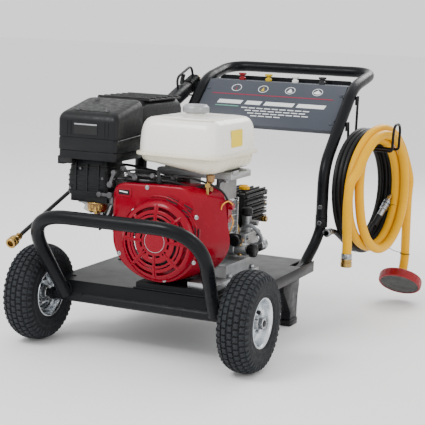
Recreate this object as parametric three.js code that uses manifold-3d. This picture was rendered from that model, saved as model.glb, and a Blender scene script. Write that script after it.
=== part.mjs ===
// Petrol-engine pressure washer on a two-wheeled cart, with its hoses and spray gun.
// Millimetres, +Z up. The engine's recoil side and the wheels are at the front (-Y),
// the push handle is at the back (+Y).
import * as THREE from 'three';
import { mergeVertices } from 'three/addons/utils/BufferGeometryUtils.js';
import Module from 'manifold-3d';

const wasm = await Module();
wasm.setup();

// ---- driving dimensions -------------------------------------------------------------
const GAP = 0.35;               // clearance between pieces that rest on each other
const WHEEL_R = 130;            // 4.10/3.50-4 pneumatic tyre, 260 across
const WHEEL_W = 84;
const BEAD_R = 62;
const TRACK_HALF = 307;         // wheel centre plane from the middle of the cart
const AXLE_R = 10;
const AXLE_END_R = 8;
const DECK_HALF = 257;
const DECK_FRONT = -11;
const DECK_BACK = 608;
const DECK_TOP = 175;
const DECK_LIP = 32;            // height of the turned-down edge
const PLATE = 3;
const RISER_TOP = 192;          // engine seat above the deck
const TUBE_R = 17.5;              // handle and arch tube
const RAIL_R = 16;
const RAIL_X = 237.5;
const RAIL_Z = 155;
const HANDLE_X = 254;
const HANDLE_FOOT_Y = 664;
const JOINT_Z = 297;            // where the upper handle meets the frame rails
const BAR_Y = 1112;             // push bar
const BAR_Z = 714;
const CRANK_X = 50;             // crankshaft axis, along Y
const CRANK_Z = 308;
const TANK_SEAM = 527;
const FILLER = [66, 158];         // middle of the tank's filler neck
const FLANGE_Z = 674;           // shelf behind the panel that holds the nozzles
const NOZZLE_Y = 942;
const NOZZLE_PITCH = 92;
const LANCE_X = -295;
const LANCE_TILT = Math.atan(0.3554);
const YELLOW_D = 28;            // suction hose
const COIL_TURN = THREE.MathUtils.degToRad(11.5);

// ---- geometry helpers ---------------------------------------------------------------
const v3 = (x, y, z) => new THREE.Vector3(x, y, z);

// Shared vertices, no flat triangles, faces pointing out.
function solid(geometry) {
  const g = geometry.index ? geometry : geometry.clone();
  g.deleteAttribute('normal');
  g.deleteAttribute('uv');
  const merged = mergeVertices(g, 1e-4);
  const p = merged.attributes.position;
  const kept = [];
  let volume = 0;
  const [a, b, c] = [v3(), v3(), v3()];
  for (let i = 0; i < merged.index.count; i += 3) {
    const ids = [0, 1, 2].map((k) => merged.index.getX(i + k));
    if (new Set(ids).size < 3) continue;
    a.fromBufferAttribute(p, ids[0]);
    b.fromBufferAttribute(p, ids[1]);
    c.fromBufferAttribute(p, ids[2]);
    volume += a.dot(b.clone().cross(c));
    kept.push(...ids);
  }
  if (volume < 0) kept.reverse();
  merged.setIndex(kept);
  return merged;
}

const toManifold = (g) => new wasm.Manifold(new wasm.Mesh({
  numProp: 3,
  vertProperties: new Float32Array(g.attributes.position.array),
  triVerts: new Uint32Array(g.index.array),
}));

function fromManifold(m) {
  const mesh = m.getMesh();
  const g = new THREE.BufferGeometry();
  g.setAttribute('position', new THREE.BufferAttribute(new Float32Array(mesh.vertProperties), 3));
  g.setIndex(new THREE.BufferAttribute(new Uint32Array(mesh.triVerts), 1));
  return solid(g);
}

const join = (...gs) => fromManifold(gs.map(toManifold).reduce((a, b) => a.add(b)));
const cut = (body, ...tools) => fromManifold(tools.map(toManifold).reduce((a, b) => a.subtract(b), toManifold(body)));

function box(x0, x1, y0, y1, z0, z1) {
  const g = new THREE.BoxGeometry(x1 - x0, y1 - y0, z1 - z0);
  return solid(g.translate((x0 + x1) / 2, (y0 + y1) / 2, (z0 + z1) / 2));
}

// Turns a shape made around +Y so that its axis lies along another direction.
function aim(g, axis) {
  if (axis === 'x') g.rotateZ(-Math.PI / 2);
  if (axis === 'z') g.rotateX(Math.PI / 2);
  return g;
}

// A rod between two stations on an axis; at is the axis position in the other two directions.
function rod(axis, r, from, to, at, sides = 16) {
  const g = new THREE.CylinderGeometry(r, r, to - from, sides);
  aim(g, axis);
  const mid = (from + to) / 2;
  if (axis === 'x') g.translate(mid, at[0], at[1]);
  if (axis === 'y') g.translate(at[0], mid, at[1]);
  if (axis === 'z') g.translate(at[0], at[1], mid);
  return solid(g);
}

// profile holds [radius, station] pairs; stations run along the named axis.
function turned(axis, profile, at, sides = 24) {
  const g = new THREE.LatheGeometry(profile.map(([r, s]) => new THREE.Vector2(r, s)), sides);
  aim(g, axis);
  g.translate(at[0], at[1], at[2]);
  return solid(g);
}

// Bends each corner of a polyline with a curve that starts "bend" before the corner.
function bentPath(points, bends) {
  const path = new THREE.CurvePath();
  let start = points[0];
  for (let i = 1; i < points.length - 1; i++) {
    const corner = points[i];
    const bend = Array.isArray(bends) ? bends[i - 1] : bends;
    const back = points[i - 1].clone().sub(corner);
    const ahead = points[i + 1].clone().sub(corner);
    const enter = corner.clone().addScaledVector(back, bend / back.length());
    const leave = corner.clone().addScaledVector(ahead, bend / ahead.length());
    path.add(new THREE.LineCurve3(start, enter));
    path.add(new THREE.QuadraticBezierCurve3(enter, corner, leave));
    start = leave;
  }
  path.add(new THREE.LineCurve3(start, points[points.length - 1]));
  return path;
}

function sweep(path, r, steps, sides = 10) {
  const ring = Array.from({ length: sides }, (_, i) => {
    const t = (i / sides) * Math.PI * 2;
    return new THREE.Vector2(r * Math.cos(t), r * Math.sin(t));
  });
  return solid(new THREE.ExtrudeGeometry(new THREE.Shape(ring), { steps, bevelEnabled: false, extrudePath: path }));
}

// Skin over outlines that all have the same number of points, closed at both ends.
function loft(sections) {
  const n = sections[0].length;
  const points = sections.flat();
  const index = [];
  for (let s = 0; s < sections.length - 1; s++) {
    for (let i = 0; i < n; i++) {
      const j = (i + 1) % n;
      const [a, b, c, d] = [s * n + i, s * n + j, (s + 1) * n + i, (s + 1) * n + j];
      index.push(a, b, d, a, d, c);
    }
  }
  for (const [s, flip] of [[0, true], [sections.length - 1, false]]) {
    const mid = sections[s].reduce((sum, p) => sum.map((v, k) => v + p[k] / n), [0, 0, 0]);
    points.push(mid);
    for (let i = 0; i < n; i++) {
      const [a, b] = [s * n + i, s * n + ((i + 1) % n)];
      index.push(points.length - 1, flip ? b : a, flip ? a : b);
    }
  }
  const g = new THREE.BufferGeometry();
  g.setAttribute('position', new THREE.Float32BufferAttribute(points.flat(), 3));
  g.setIndex(index);
  return solid(g);
}

// Outline of a rectangle with round corners, as [u, v] pairs.
function roundRect(u0, u1, v0, v1, r, perCorner = 3) {
  const corners = [[u1 - r, v1 - r, 0], [u0 + r, v1 - r, 1], [u0 + r, v0 + r, 2], [u1 - r, v0 + r, 3]];
  return corners.flatMap(([cu, cv, q]) => Array.from({ length: perCorner + 1 }, (_, i) => {
    const t = (q + i / perCorner) * Math.PI / 2;
    return [cu + r * Math.cos(t), cv + r * Math.sin(t)];
  }));
}

const levelZ = (outline, z) => outline.map(([u, v]) => [u, v, z]);
const levelY = (outline, y) => outline.map(([u, v]) => [u, y, v]);

// ---- materials ----------------------------------------------------------------------
const finish = (color, roughness, metalness = 0) => new THREE.MeshStandardMaterial({ color, roughness, metalness });
const framePaint = finish(0x2d3036, 0.35, 0.3);
const deckPaint = finish(0x3a3d40, 0.6, 0.2);
const panelPaint = finish(0x69707d, 0.45, 0.1);
const tyreRubber = finish(0x26282c, 0.9);
const rimZinc = finish(0xb9bdbf, 0.35, 0.9);
const redPaint = finish(0xc40d2b, 0.3, 0.1);
const tankPaint = finish(0xf6f2e4, 0.3);
const blackPlastic = finish(0x1f2225, 0.55);
const blackSteel = finish(0x222528, 0.5, 0.5);
const castAlloy = finish(0x9a9c9d, 0.5, 0.8);
const bareSteel = finish(0xb0b2b4, 0.3, 0.9);
const brass = finish(0xc4a05a, 0.35, 0.9);
const yellowRubber = finish(0xf2b414, 0.45);
const blackRubber = finish(0x1c1d1f, 0.7);

const model = new THREE.Group();

function part(name, geometry, material, parent = model) {
  const mesh = new THREE.Mesh(geometry, material);
  mesh.name = name;
  parent.add(mesh);
  return mesh;
}

// ---- cart ---------------------------------------------------------------------------
function deck() {
  const blank = box(-DECK_HALF, DECK_HALF, DECK_FRONT, DECK_BACK, DECK_TOP - DECK_LIP, DECK_TOP);
  const under = box(-DECK_HALF + PLATE, DECK_HALF - PLATE, DECK_FRONT + PLATE, DECK_BACK - PLATE,
    DECK_TOP - DECK_LIP - 1, DECK_TOP - PLATE);
  const riser = box(-14, 204, -2, 288, DECK_TOP - 1, RISER_TOP);
  // A notch at each back corner lets the frame rail rise through the deck.
  const slots = [-1, 1].map((s) => {
    const [a, b] = [s * (RAIL_X - RAIL_R - 1), s * (DECK_HALF - PLATE + 0.5)].sort((p, q) => p - q);
    return box(a, b, 500, DECK_BACK + 5, 161, DECK_TOP + 5);
  });
  return cut(join(cut(blank, under), riser), ...slots);
}

function frameRail(side) {
  const points = [[RAIL_X, 14, RAIL_Z], [RAIL_X, 250, RAIL_Z], [RAIL_X, 470, RAIL_Z], [RAIL_X, 535, 157], [RAIL_X, 574, 166],
    [238, 608, 187], [244, 638, 217], [251, 658, 254], [HANDLE_X, HANDLE_FOOT_Y, 284], [HANDLE_X, HANDLE_FOOT_Y, JOINT_Z - GAP]];
  const curve = new THREE.CatmullRomCurve3(points.map(([x, y, z]) => v3(side * x, y, z)), false, 'centripetal');
  return sweep(curve, RAIL_R, 26);
}

function handle() {
  const right = [[HANDLE_X, HANDLE_FOOT_Y, JOINT_Z], [HANDLE_X, HANDLE_FOOT_Y, 448], [HANDLE_X, 903, 674], [HANDLE_X, BAR_Y, BAR_Z]];
  const left = right.map(([x, y, z]) => [-x, y, z]).reverse();
  const path = bentPath([...right, ...left].map((p) => v3(...p)), [60, 55, 72, 72, 55, 60]);
  return sweep(path, TUBE_R, 66);
}

function frontArch() {
  // A hoop that leans forward in one plane from the front of the deck.
  const right = [[217.5, -15, 138], [246, -172, 372]];
  const left = right.map(([x, y, z]) => [-x, y, z]).reverse();
  const hoop = sweep(bentPath([...right, ...left].map((p) => v3(...p)), [126, 126]), TUBE_R, 44);
  return cut(hoop, box(-300, 300, DECK_FRONT - GAP, 50, 100, 200));
}

function rearLeg(side) {
  const [x0, x1] = [side * 206, side * 236].sort((p, q) => p - q);
  const sections = [[420, 548, RAIL_Z - RAIL_R - GAP], [420, 548, 112], [446, 540, 84], [482, 538, 40], [482, 538, 18 + GAP]];
  return loft(sections.map(([y0, y1, z]) => [[x0, y0, z], [x1, y0, z], [x1, y1, z], [x0, y1, z]]));
}

function rearFoot(side) {
  const outline = roundRect(side * 221 - 18, side * 221 + 18, 478, 542, 8, 2);
  return loft([levelZ(outline, 0), levelZ(outline, 18)]);
}

// The panel leans between the handle tubes; its top turns back into the nozzle shelf.
function panel() {
  const [y0, z0, y1] = [766, 544, 905];
  const sheet = [[y0, z0], [y1, FLANGE_Z], [978, FLANGE_Z], [978, FLANGE_Z + 2.5], [y1 - 1, FLANGE_Z + 2.5], [y0 - 1.8, z0 + 1.8]];
  const shape = new THREE.Shape(sheet.map(([y, z]) => new THREE.Vector2(y, z)));
  const g = new THREE.ExtrudeGeometry(shape, { depth: 472, bevelEnabled: false, steps: 1 });
  g.rotateX(Math.PI / 2).rotateZ(Math.PI / 2).translate(-236, 0, 0);
  const holes = [-1.5, -0.5, 0.5, 1.5].map((k) => rod('z', 9, FLANGE_Z - 5, FLANGE_Z + 8, [k * NOZZLE_PITCH, NOZZLE_Y], 16));
  return cut(solid(g), ...holes);
}

function nozzle(k) {
  const profile = [[0, -22], [6.5, -22], [6.5, GAP], [10.5, GAP], [10.5, 8], [6, 10], [6, 14], [12.5, 16], [12.5, 23], [0, 23]];
  return turned('z', profile, [k * NOZZLE_PITCH, NOZZLE_Y, FLANGE_Z + 2.5], 14);
}

function hoseHook() {
  const points = [[277, 884, 650], [281, 868, 499], [428, 838, 499], [430, 838, 578], [430, 768, 578], [428, 768, 499],
    [281, 798, 499], [277, 800, 575]];
  return sweep(bentPath(points.map((p) => v3(...p)), [12, 10, 32, 32, 10, 12]), 4, 46, 8);
}

// ---- wheels -------------------------------------------------------------------------
function wheel(name, side) {
  const at = [side * TRACK_HALF, 0, WHEEL_R];
  const half = WHEEL_W / 2;
  const tyre = [[BEAD_R + GAP, -35], [70, -37], [88, -half], [110, -half + 1], [121, -35], [WHEEL_R - 2, -22], [WHEEL_R, 0]];
  const ring = [...tyre, ...tyre.slice(0, -1).reverse().map(([r, s]) => [r, -s]), tyre[0]];
  part(`${name}_tyre`, turned('x', ring, at, 32), tyreRubber);
  const hub = AXLE_R + 0.3;
  const rim = [[hub, -30], [17, -30], [17, -4], [BEAD_R - 5, -4], [BEAD_R - 5, -34], [BEAD_R, -34]];
  const rimRing = [...rim, ...rim.slice().reverse().map(([r, s]) => [r, -s]), rim[0]];
  part(`${name}_rim`, turned('x', rimRing, at, 24), rimZinc);
  const [a, b] = [side * (TRACK_HALF + 30 + GAP), side * (TRACK_HALF + 40)].sort((p, q) => p - q);
  const nut = [[AXLE_END_R + 1.6, a], [16, a], [16, b], [AXLE_END_R + 1.6, b], [AXLE_END_R + 1.6, a]];
  part(`${name}_axle_nut`, turned('x', nut, [0, 0, WHEEL_R], 6), bareSteel);
}

function axle() {
  const [shoulder, end] = [TRACK_HALF + 30, TRACK_HALF + 42];
  const profile = [[0, -end], [AXLE_END_R, -end], [AXLE_END_R, -shoulder], [AXLE_R, -shoulder], [AXLE_R, shoulder],
    [AXLE_END_R, shoulder], [AXLE_END_R, end], [0, end]];
  return turned('x', profile, [0, 0, WHEEL_R], 20);
}

// ---- engine -------------------------------------------------------------------------
// Front outline of the cooling shroud; grow widens its right side towards the back.
function shroudOutline(grow, y) {
  const right = 113 + grow;
  const lower = Array.from({ length: 13 }, (_, i) => {
    const t = -Math.PI * (i / 12);
    return [CRANK_X + (t > -Math.PI / 2 ? right : 137) * Math.cos(t), CRANK_Z + 111 * Math.sin(t)];
  });
  const upper = [[CRANK_X + 92 + grow, 430], [CRANK_X + 62 + grow * 0.6, 450], [CRANK_X, 450], [CRANK_X - 122, 446], [CRANK_X - 137, 428]].reverse();
  return levelY([...lower, ...upper], y);
}

function fanCover() {
  const shell = loft([shroudOutline(0, -5), shroudOutline(18, 28), shroudOutline(44, 92)]);
  const hollow = rod('y', 99, 6, 100, [CRANK_X, CRANK_Z], 28);
  const front = rod('y', 72, -10, 10, [CRANK_X, CRANK_Z + 2], 24);
  const switchSeat = box(-72, -34, -8, 20, 414, 432);
  return cut(shell, hollow, front, switchSeat);
}

function recoilCover() {
  // A dished bell around the rope pulley, open at the back.
  const profile = [[0, -30], [56, -30], [86, -26], [102, -14], [105, -5 - GAP], [99, -5 - GAP], [96, -12], [84, -21], [54, -24], [0, -24]];
  const bell = turned('y', profile, [CRANK_X, 0, CRANK_Z], 30);
  const slots = [];
  for (let i = 0; i < 12; i++) {
    const g = new THREE.BoxGeometry(7, 30, 22);
    g.translate(0, -30, 44).rotateY((i * Math.PI) / 6);
    slots.push(solid(g.translate(CRANK_X, 0, CRANK_Z)));
  }
  return cut(bell, ...slots);
}

function crankcase() {
  const y0 = 96;
  const block = loft([levelY(roundRect(-52, 146, 215, 400, 26), y0), levelY(roundRect(-52, 146, 215, 400, 26), 268),
    levelY(roundRect(-30, 120, 236, 378, 40), 285)]);
  const foot = join(box(-8, 212, y0, 282, RISER_TOP + GAP, 208), box(130, 212, 6, y0 + 10, RISER_TOP + GAP, 208));
  const rib = box(30, 196, y0 + 1, 260, 200, 240);
  const oilNeck = rod('x', 16, 140, 197 - GAP, [232, 262], 16);
  const bore = rod('y', 15.5, 90, 300, [CRANK_X, CRANK_Z], 20);
  return cut(join(block, foot, rib, oilNeck), bore);
}

function cylinder() {
  // Finned barrel and head lying 25 degrees above the horizontal towards -X.
  const pieces = [box(-178, -20, -48, 48, -46, 46)];
  for (let i = 0; i < 7; i++) pieces.push(box(-52 - i * 17, -46 - i * 17, -68, 68, -62, 62));
  pieces.push(box(-196, -170, -56, 56, -52, 52));
  // Rocker cover on the end of the head.
  pieces.push(loft([[190, 1], [222, 1], [228, 0.86]].map(([d, k]) => roundRect(-50 * k, 50 * k, -46 * k, 46 * k, 14 * k, 2)
    .map(([y, z]) => [-d, y, z]))));
  const g = join(...pieces);
  g.rotateY(THREE.MathUtils.degToRad(22)).translate(-48, 180, 318);
  return cut(g, box(-53, 60, 90, 300, 200, 420));
}

function crankshaft() {
  const shaft = rod('y', 15, 22, 372, [CRANK_X, CRANK_Z], 20);
  return cut(shaft, box(CRANK_X - 20, CRANK_X + 20, 340, 380, CRANK_Z + 11, CRANK_Z + 20));
}

function flywheel() {
  const disc = turned('y', [[15.3, 30], [88, 30], [92, 44], [92, 62], [80, 72], [15.3, 72], [15.3, 30]], [CRANK_X, 0, CRANK_Z], 32);
  const fins = [];
  for (let i = 0; i < 12; i++) {
    const g = new THREE.BoxGeometry(4, 14, 34);
    g.translate(0, 24, 66).rotateY((i * Math.PI) / 6);
    fins.push(solid(g.translate(CRANK_X, 0, CRANK_Z)));
  }
  return join(disc, ...fins);
}

function recoilPulley() {
  const profile = [[8, -20], [62, -20], [62, -17], [54, -14], [54, -7], [62, -4], [62, -1], [8, -1], [8, -20]];
  return turned('y', profile, [CRANK_X, 0, CRANK_Z], 24);
}

function recoilGrip() {
  // T-shaped pull grip parked at the left of the bell.
  return loft([[-30, 5, 5], [-24, 9, 7], [24, 9, 7], [30, 5, 5]].map(([x, ry, rz]) => Array.from({ length: 10 }, (_, i) => {
    const t = (i / 10) * Math.PI * 2;
    return [-98 + x * 0.6, -18 + ry * Math.cos(t), 346 + x * 0.8 + rz * Math.sin(t)];
  })));
}

function muffler() {
  const body = loft([levelY(roundRect(-234, -84, 500, 634, 22), 124), levelY(roundRect(-236, -80, 492, 648, 26), 170),
    levelY(roundRect(-236, -80, 492, 648, 26), 360), levelY(roundRect(-224, -92, 505, 636, 22), 396)]);
  const pipe = rod('z', 17, 405, 500, [-150, 268], 14);
  return join(body, pipe);
}

function airCleanerCover() {
  const outline = (inset, z, slope) => roundRect(-242 + inset, -66 - inset, -30 + inset, 120 - inset * 0.3, 14)
    .map(([x, y]) => [x, y, z + slope * (y + 30)]);
  return loft([outline(0, 522, 0), outline(0, 604, 0.2), outline(7, 615, 0.23), outline(26, 621, 0.22)]);
}

function airCleanerBase() {
  const tray = roundRect(-240, -68, -28, 118, 12);
  const rim = loft([levelZ(tray, 500), levelZ(tray, 522 - GAP)]);
  return join(rim, box(-240, -222, -28, 4, 484, 505));
}

function carburettor() {
  const elbow = loft([levelZ(roundRect(-226, -104, -4, 100, 16), 404), levelZ(roundRect(-226, -104, -4, 100, 16), 452),
    levelZ(roundRect(-218, -112, 0, 96, 16), 500 - GAP)]);
  const flange = box(-216, -108, 2, 92, 386, 406);
  return join(elbow, flange);
}

function fuelBowl() {
  return turned('z', [[0, 356], [10, 356], [24, 360], [27, 366], [27, 386 - GAP], [0, 386 - GAP]], [-148, 24, 0], 20);
}

// A lever: a hub with a flat arm and a rounded grip, drawn in the XZ plane about its pivot.
function lever(pivot, length, angle) {
  const g = join(rod('y', 8, -3, 3, [0, 0], 14), box(0, length, -2, 2, -4, 4), rod('y', 7, -5, 5, [length, 0], 12));
  g.rotateY(-THREE.MathUtils.degToRad(angle)).translate(...pivot);
  return solid(g);
}

function fuelTank() {
  // Front left corner is drawn up where the lower pan clears the carburettor.
  const plan = (inset) => roundRect(-42 + inset, 196 - inset, 14 + inset, 300 - inset, Math.max(34 - inset * 0.4, 12), 3);
  const bottom = plan(30).map(([x, y]) => [x, y, x < 40 ? 500 : 480]);
  const low = plan(12).map(([x, y]) => [x, y, x < 40 ? 506 : 490]);
  const pan = loft([bottom, low, levelZ(plan(6), TANK_SEAM - 6), levelZ(plan(-1), TANK_SEAM - 4), levelZ(plan(-1), TANK_SEAM + 3),
    levelZ(plan(5), TANK_SEAM + 5), levelZ(plan(8), 586), levelZ(plan(16), 606), levelZ(plan(38), 619)]);
  const neck = rod('z', 27, 600, 626, FILLER, 20);
  const mouth = rod('z', 21, 560, 640, FILLER, 20);
  return cut(join(pan, neck), mouth);
}

function fuelCap() {
  return turned('z', [[0, 626 + GAP], [34, 626 + GAP], [35, 630], [35, 642], [27, 648], [0, 648]], [...FILLER, 0], 24);
}

function tankBracket() {
  return join(box(-20, 196, 110, 240, 462, 478), box(146, 160, 126, 230, 400 + GAP, 470), box(20, 60, 150, 220, 400 + GAP, 470));
}

function oilCap() {
  return turned('x', [[0, 197], [14, 197], [14, 206], [18, 207], [18, 220], [14, 224], [0, 224]], [0, 232, 262], 14);
}

function oilAlertUnit() {
  return join(box(146 + GAP, 196, 97, 122, 352, 412), rod('x', 9, 190, 206, [108, 396], 12));
}

// ---- pump ---------------------------------------------------------------------------
function pumpCrankcase() {
  const boss = turned('y', [[15.6, 286], [76, 286], [76, 298], [52, 312], [52, 402], [15.6, 402], [15.6, 286]],
    [CRANK_X, 0, CRANK_Z], 28);
  const core = box(-22, 112, 400, 548, 290, 384);
  const fins = [];
  for (let i = 0; i < 5; i++) fins.push(box(-28, 120, 403, 556, 294 + i * 20, 302 + i * 20));
  const neck = rod('z', 11, 380, 392, [92, 446], 14);
  const bore = rod('y', 15.6, 280, 410, [CRANK_X, CRANK_Z], 20);
  return cut(join(boss, core, ...fins, neck), bore);
}

function pumpManifold() {
  const block = box(98, 150, 326, 424, 212, 284);
  const outlet = rod('y', 11, 420, 470, [128, 268], 12);
  const inlet = rod('y', 15, 420, 482, [124, 226], 14);
  const collar = rod('y', 19, 480, 522, [124, 226], 8);
  const bridge = box(60, 112, 330, 394, 252, 292);
  const unloader = join(rod('z', 14, 280, 330, [134, 372], 14), rod('x', 8, 140, 168, [372, 312], 10));
  return cut(join(block, outlet, inlet, collar, bridge, unloader), rod('y', 10, 500, 530, [124, 226], 12),
    rod('y', 52.8, 300, 402 + GAP, [CRANK_X, CRANK_Z], 28));
}

function unloaderKnob() {
  return turned('z', [[0, 330 + GAP], [13, 330 + GAP], [16, 334], [16, 350], [12, 354], [0, 354]], [134, 372, 0], 12);
}

function pumpCap() {
  return turned('z', [[0, 392 + GAP], [15, 392 + GAP], [15, 401], [10, 405], [0, 405]], [92, 446, 0], 14);
}

// ---- spray gun and lance, drawn along +Y and then tilted ----------------------------
function sprayGun() {
  const gun = new THREE.Group();
  gun.position.set(LANCE_X, 700, 591);
  gun.rotation.x = LANCE_TILT;
  const sections = [[0, 12, 12], [16, 17, 19], [40, 20, 24], [120, 20, 25], [170, 17, 19], [222, 19, 23], [236, 13, 15]];
  const body = loft(sections.map(([y, rx, rz]) => levelY(roundRect(-rx, rx, -rz, rz, Math.min(rx, rz) * 0.7), y)));
  const guard = bentPath([v3(0, 98, 16), v3(0, 98, 58), v3(0, 212, 58), v3(0, 212, 16)], 24);
  const inlet = rod('y', 9, 230, 250, [0, 0], 10);
  part('gun_body', join(body, sweep(guard, 4, 26, 8), inlet), blackPlastic, gun);
  const blade = [[122, 28], [134, 28], [140, 37], [152, 51], [145, 52], [132, 41]];
  const shape = new THREE.Shape(blade.map(([y, z]) => new THREE.Vector2(y, z)));
  const g = new THREE.ExtrudeGeometry(shape, { depth: 12, bevelEnabled: false, steps: 1 });
  part('gun_trigger', solid(g.rotateX(Math.PI / 2).rotateZ(Math.PI / 2).translate(-6, 0, 0)), blackPlastic, gun);
  part('lance_tube', rod('y', 5.5, -904, -GAP, [0, 0], 10), blackSteel, gun);
  const coupler = [[6, -914], [14, -914], [14, -892], [11, -886], [6, -886], [6, -914]];
  part('lance_coupler', turned('y', coupler, [0, 0, 0], 16), brass, gun);
  return gun;
}

function gunHolder() {
  // A cradle welded to the left handle tube, open at the top.
  const [y0, y1] = [858, 878];
  const inner = -HANDLE_X - TUBE_R - GAP;
  const floor = box(-322, inner, y0, y1, 619, 623);
  return join(floor, box(-322, -318, y0, y1, 619, 660), box(inner - 2.5, inner, y0, y1, 619, 648));
}

// ---- hoses --------------------------------------------------------------------------
// Each coil hangs on the hook: an upright oval ring, turned a little about Z.
function coilRing(centre, outerZ, outerY, radial, width) {
  const [inner, half] = [outerZ - radial, width / 2];
  const c = 7;
  const profile = [[inner, -half + c], [inner + c, -half], [outerZ - c, -half], [outerZ, -half + c], [outerZ, half - c],
    [outerZ - c, half], [inner + c, half], [inner, half - c], [inner, -half + c]];
  const g = new THREE.LatheGeometry(profile.map(([r, s]) => new THREE.Vector2(r, s)), 32);
  g.rotateZ(-Math.PI / 2).scale(1, outerY / outerZ, 1).rotateZ(-COIL_TURN).translate(...centre);
  return solid(g);
}

function hoses() {
  part('black_hose_coil', coilRing([331, 822, 368], 192, 172, 47, 46), blackRubber);
  part('black_hose_nut', turned('y', [[0, 0], [8, 0], [8, 14], [12, 15], [12, 32], [0, 32]], [292, 604, 262], 8), bareSteel);
  part('yellow_hose_coil', coilRing([384, 811, 368], 202, 178, 56, 56), yellowRubber);
  const front = [[348, 620, 400], [347, 618, 340], [349, 619, 270], [352, 620, 230], [352, 620, 206]];
  const rear = [[422, 1002, 330], [422, 1004, 260], [423, 1005, 190], [424, 1004, 140], [424, 993, 106], [424, 986.5, 97.5]];
  const curve = (points) => new THREE.CatmullRomCurve3(points.map((p) => v3(...p)), false, 'centripetal');
  part('yellow_hose_front_end', sweep(curve(front), YELLOW_D / 2, 6, 12), yellowRubber);
  part('yellow_hose_rear_end', sweep(curve(rear), YELLOW_D / 2, 8, 12), yellowRubber);
  const fitting = [[0, 0], [17, 0], [17, 16], [15, 18], [15, 40], [0, 40]];
  part('yellow_hose_coupling', turned('z', fitting, [352, 620, 206 - 40 - GAP], 12), brass);
  const strainer = new THREE.Group();
  strainer.position.set(424, 968, 70);
  strainer.rotation.x = THREE.MathUtils.degToRad(-37);
  part('yellow_hose_strainer', turned('z', [[0, -15], [65, -15], [68, -11], [68, 9], [63, 13], [20, 15], [18, 30], [0, 30]], [0, 0, 0], 24),
    redPaint, strainer);
  model.add(strainer);
}

// ---- assembly -----------------------------------------------------------------------
part('deck', deck(), deckPaint);
part('front_arch', frontArch(), framePaint);
part('frame_rail_right', frameRail(1), framePaint);
part('frame_rail_left', frameRail(-1), framePaint);
part('axle', axle(), blackSteel);
for (const [name, side] of [['right', 1], ['left', -1]]) {
  part(`rear_leg_${name}`, rearLeg(side), framePaint);
  part(`rear_foot_${name}`, rearFoot(side), blackRubber);
  wheel(name, side);
}
part('handle', handle(), framePaint);
part('panel', panel(), panelPaint);
part('nozzle_red', nozzle(-1.5), finish(0xc22a2a, 0.5));
part('nozzle_yellow', nozzle(-0.5), finish(0xd8b430, 0.5));
part('nozzle_white', nozzle(0.5), finish(0xe8e8e4, 0.5));
part('nozzle_black', nozzle(1.5), finish(0x18191b, 0.5));
part('hose_hook', hoseHook(), framePaint);
part('gun_holder', gunHolder(), framePaint);
model.add(sprayGun());

part('crankcase', crankcase(), castAlloy);
part('cylinder', cylinder(), castAlloy);
part('crankshaft', crankshaft(), bareSteel);
part('flywheel', flywheel(), castAlloy);
part('fan_cover', fanCover(), redPaint);
part('recoil_cover', recoilCover(), redPaint);
part('recoil_pulley', recoilPulley(), blackPlastic);
part('recoil_grip', recoilGrip(), blackPlastic);
part('muffler', muffler(), blackSteel);
part('air_cleaner_cover', airCleanerCover(), blackPlastic);
part('air_cleaner_base', airCleanerBase(), blackPlastic);
part('carburettor', carburettor(), blackPlastic);
part('fuel_bowl', fuelBowl(), brass);
part('throttle_lever', lever([-30, 8, 462], 40, 150), bareSteel);
part('choke_lever', lever([-92, -12, 440], 34, 70), bareSteel);
part('fuel_lever', lever([-92, -12, 412], 30, 180), bareSteel);
part('engine_switch', box(-70, -36, -7, 5, 416, 430), blackPlastic);
part('fuel_tank', fuelTank(), tankPaint);
part('fuel_cap', fuelCap(), bareSteel);
part('tank_bracket', tankBracket(), castAlloy);
part('oil_cap', oilCap(), blackPlastic);
part('oil_alert_unit', oilAlertUnit(), redPaint);

part('pump_crankcase', pumpCrankcase(), blackSteel);
part('pump_manifold', pumpManifold(), castAlloy);
part('unloader_knob', unloaderKnob(), redPaint);
part('pump_cap', pumpCap(), yellowRubber);
hoses();

// The origin is the middle of the base of everything but the hoses.
const loose = /hose_(coil|nut|front_end|rear_end|coupling|strainer)$/;
model.updateMatrixWorld(true);
const extent = new THREE.Box3();
model.traverse((node) => {
  if (node.isMesh && !loose.test(node.name)) extent.expandByObject(node, true);
});
const centre = extent.getCenter(v3());
model.position.set(-centre.x, -centre.y, -extent.min.z);

const machine = new THREE.Group();
machine.add(model);
export default machine;
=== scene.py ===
"""A petrol pressure washer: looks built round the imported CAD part."""

from math import atan, cos, hypot, pi, radians, sin, sqrt

import bmesh
import bpy
from mathutils import Matrix, Vector


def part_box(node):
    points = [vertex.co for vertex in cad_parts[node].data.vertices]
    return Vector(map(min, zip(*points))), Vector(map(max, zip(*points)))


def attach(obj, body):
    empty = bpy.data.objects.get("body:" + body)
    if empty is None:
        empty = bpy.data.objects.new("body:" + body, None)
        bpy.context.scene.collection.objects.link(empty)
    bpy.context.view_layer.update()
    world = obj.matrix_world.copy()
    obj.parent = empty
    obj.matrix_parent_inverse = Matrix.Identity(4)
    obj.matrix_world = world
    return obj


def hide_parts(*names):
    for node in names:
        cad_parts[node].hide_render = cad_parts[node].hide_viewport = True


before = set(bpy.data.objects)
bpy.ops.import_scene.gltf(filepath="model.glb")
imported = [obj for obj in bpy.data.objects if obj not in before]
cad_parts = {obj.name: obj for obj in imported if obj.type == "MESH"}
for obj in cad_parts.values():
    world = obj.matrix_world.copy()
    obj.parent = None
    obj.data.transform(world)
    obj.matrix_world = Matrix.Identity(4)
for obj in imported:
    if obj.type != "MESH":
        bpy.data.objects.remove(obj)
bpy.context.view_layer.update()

# The cart's own frame: millimetres, the axle at x = 0 and y = 0, the ground at z = 0.
MM = 0.001
AXLE_LOW, AXLE_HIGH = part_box("axle")
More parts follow.
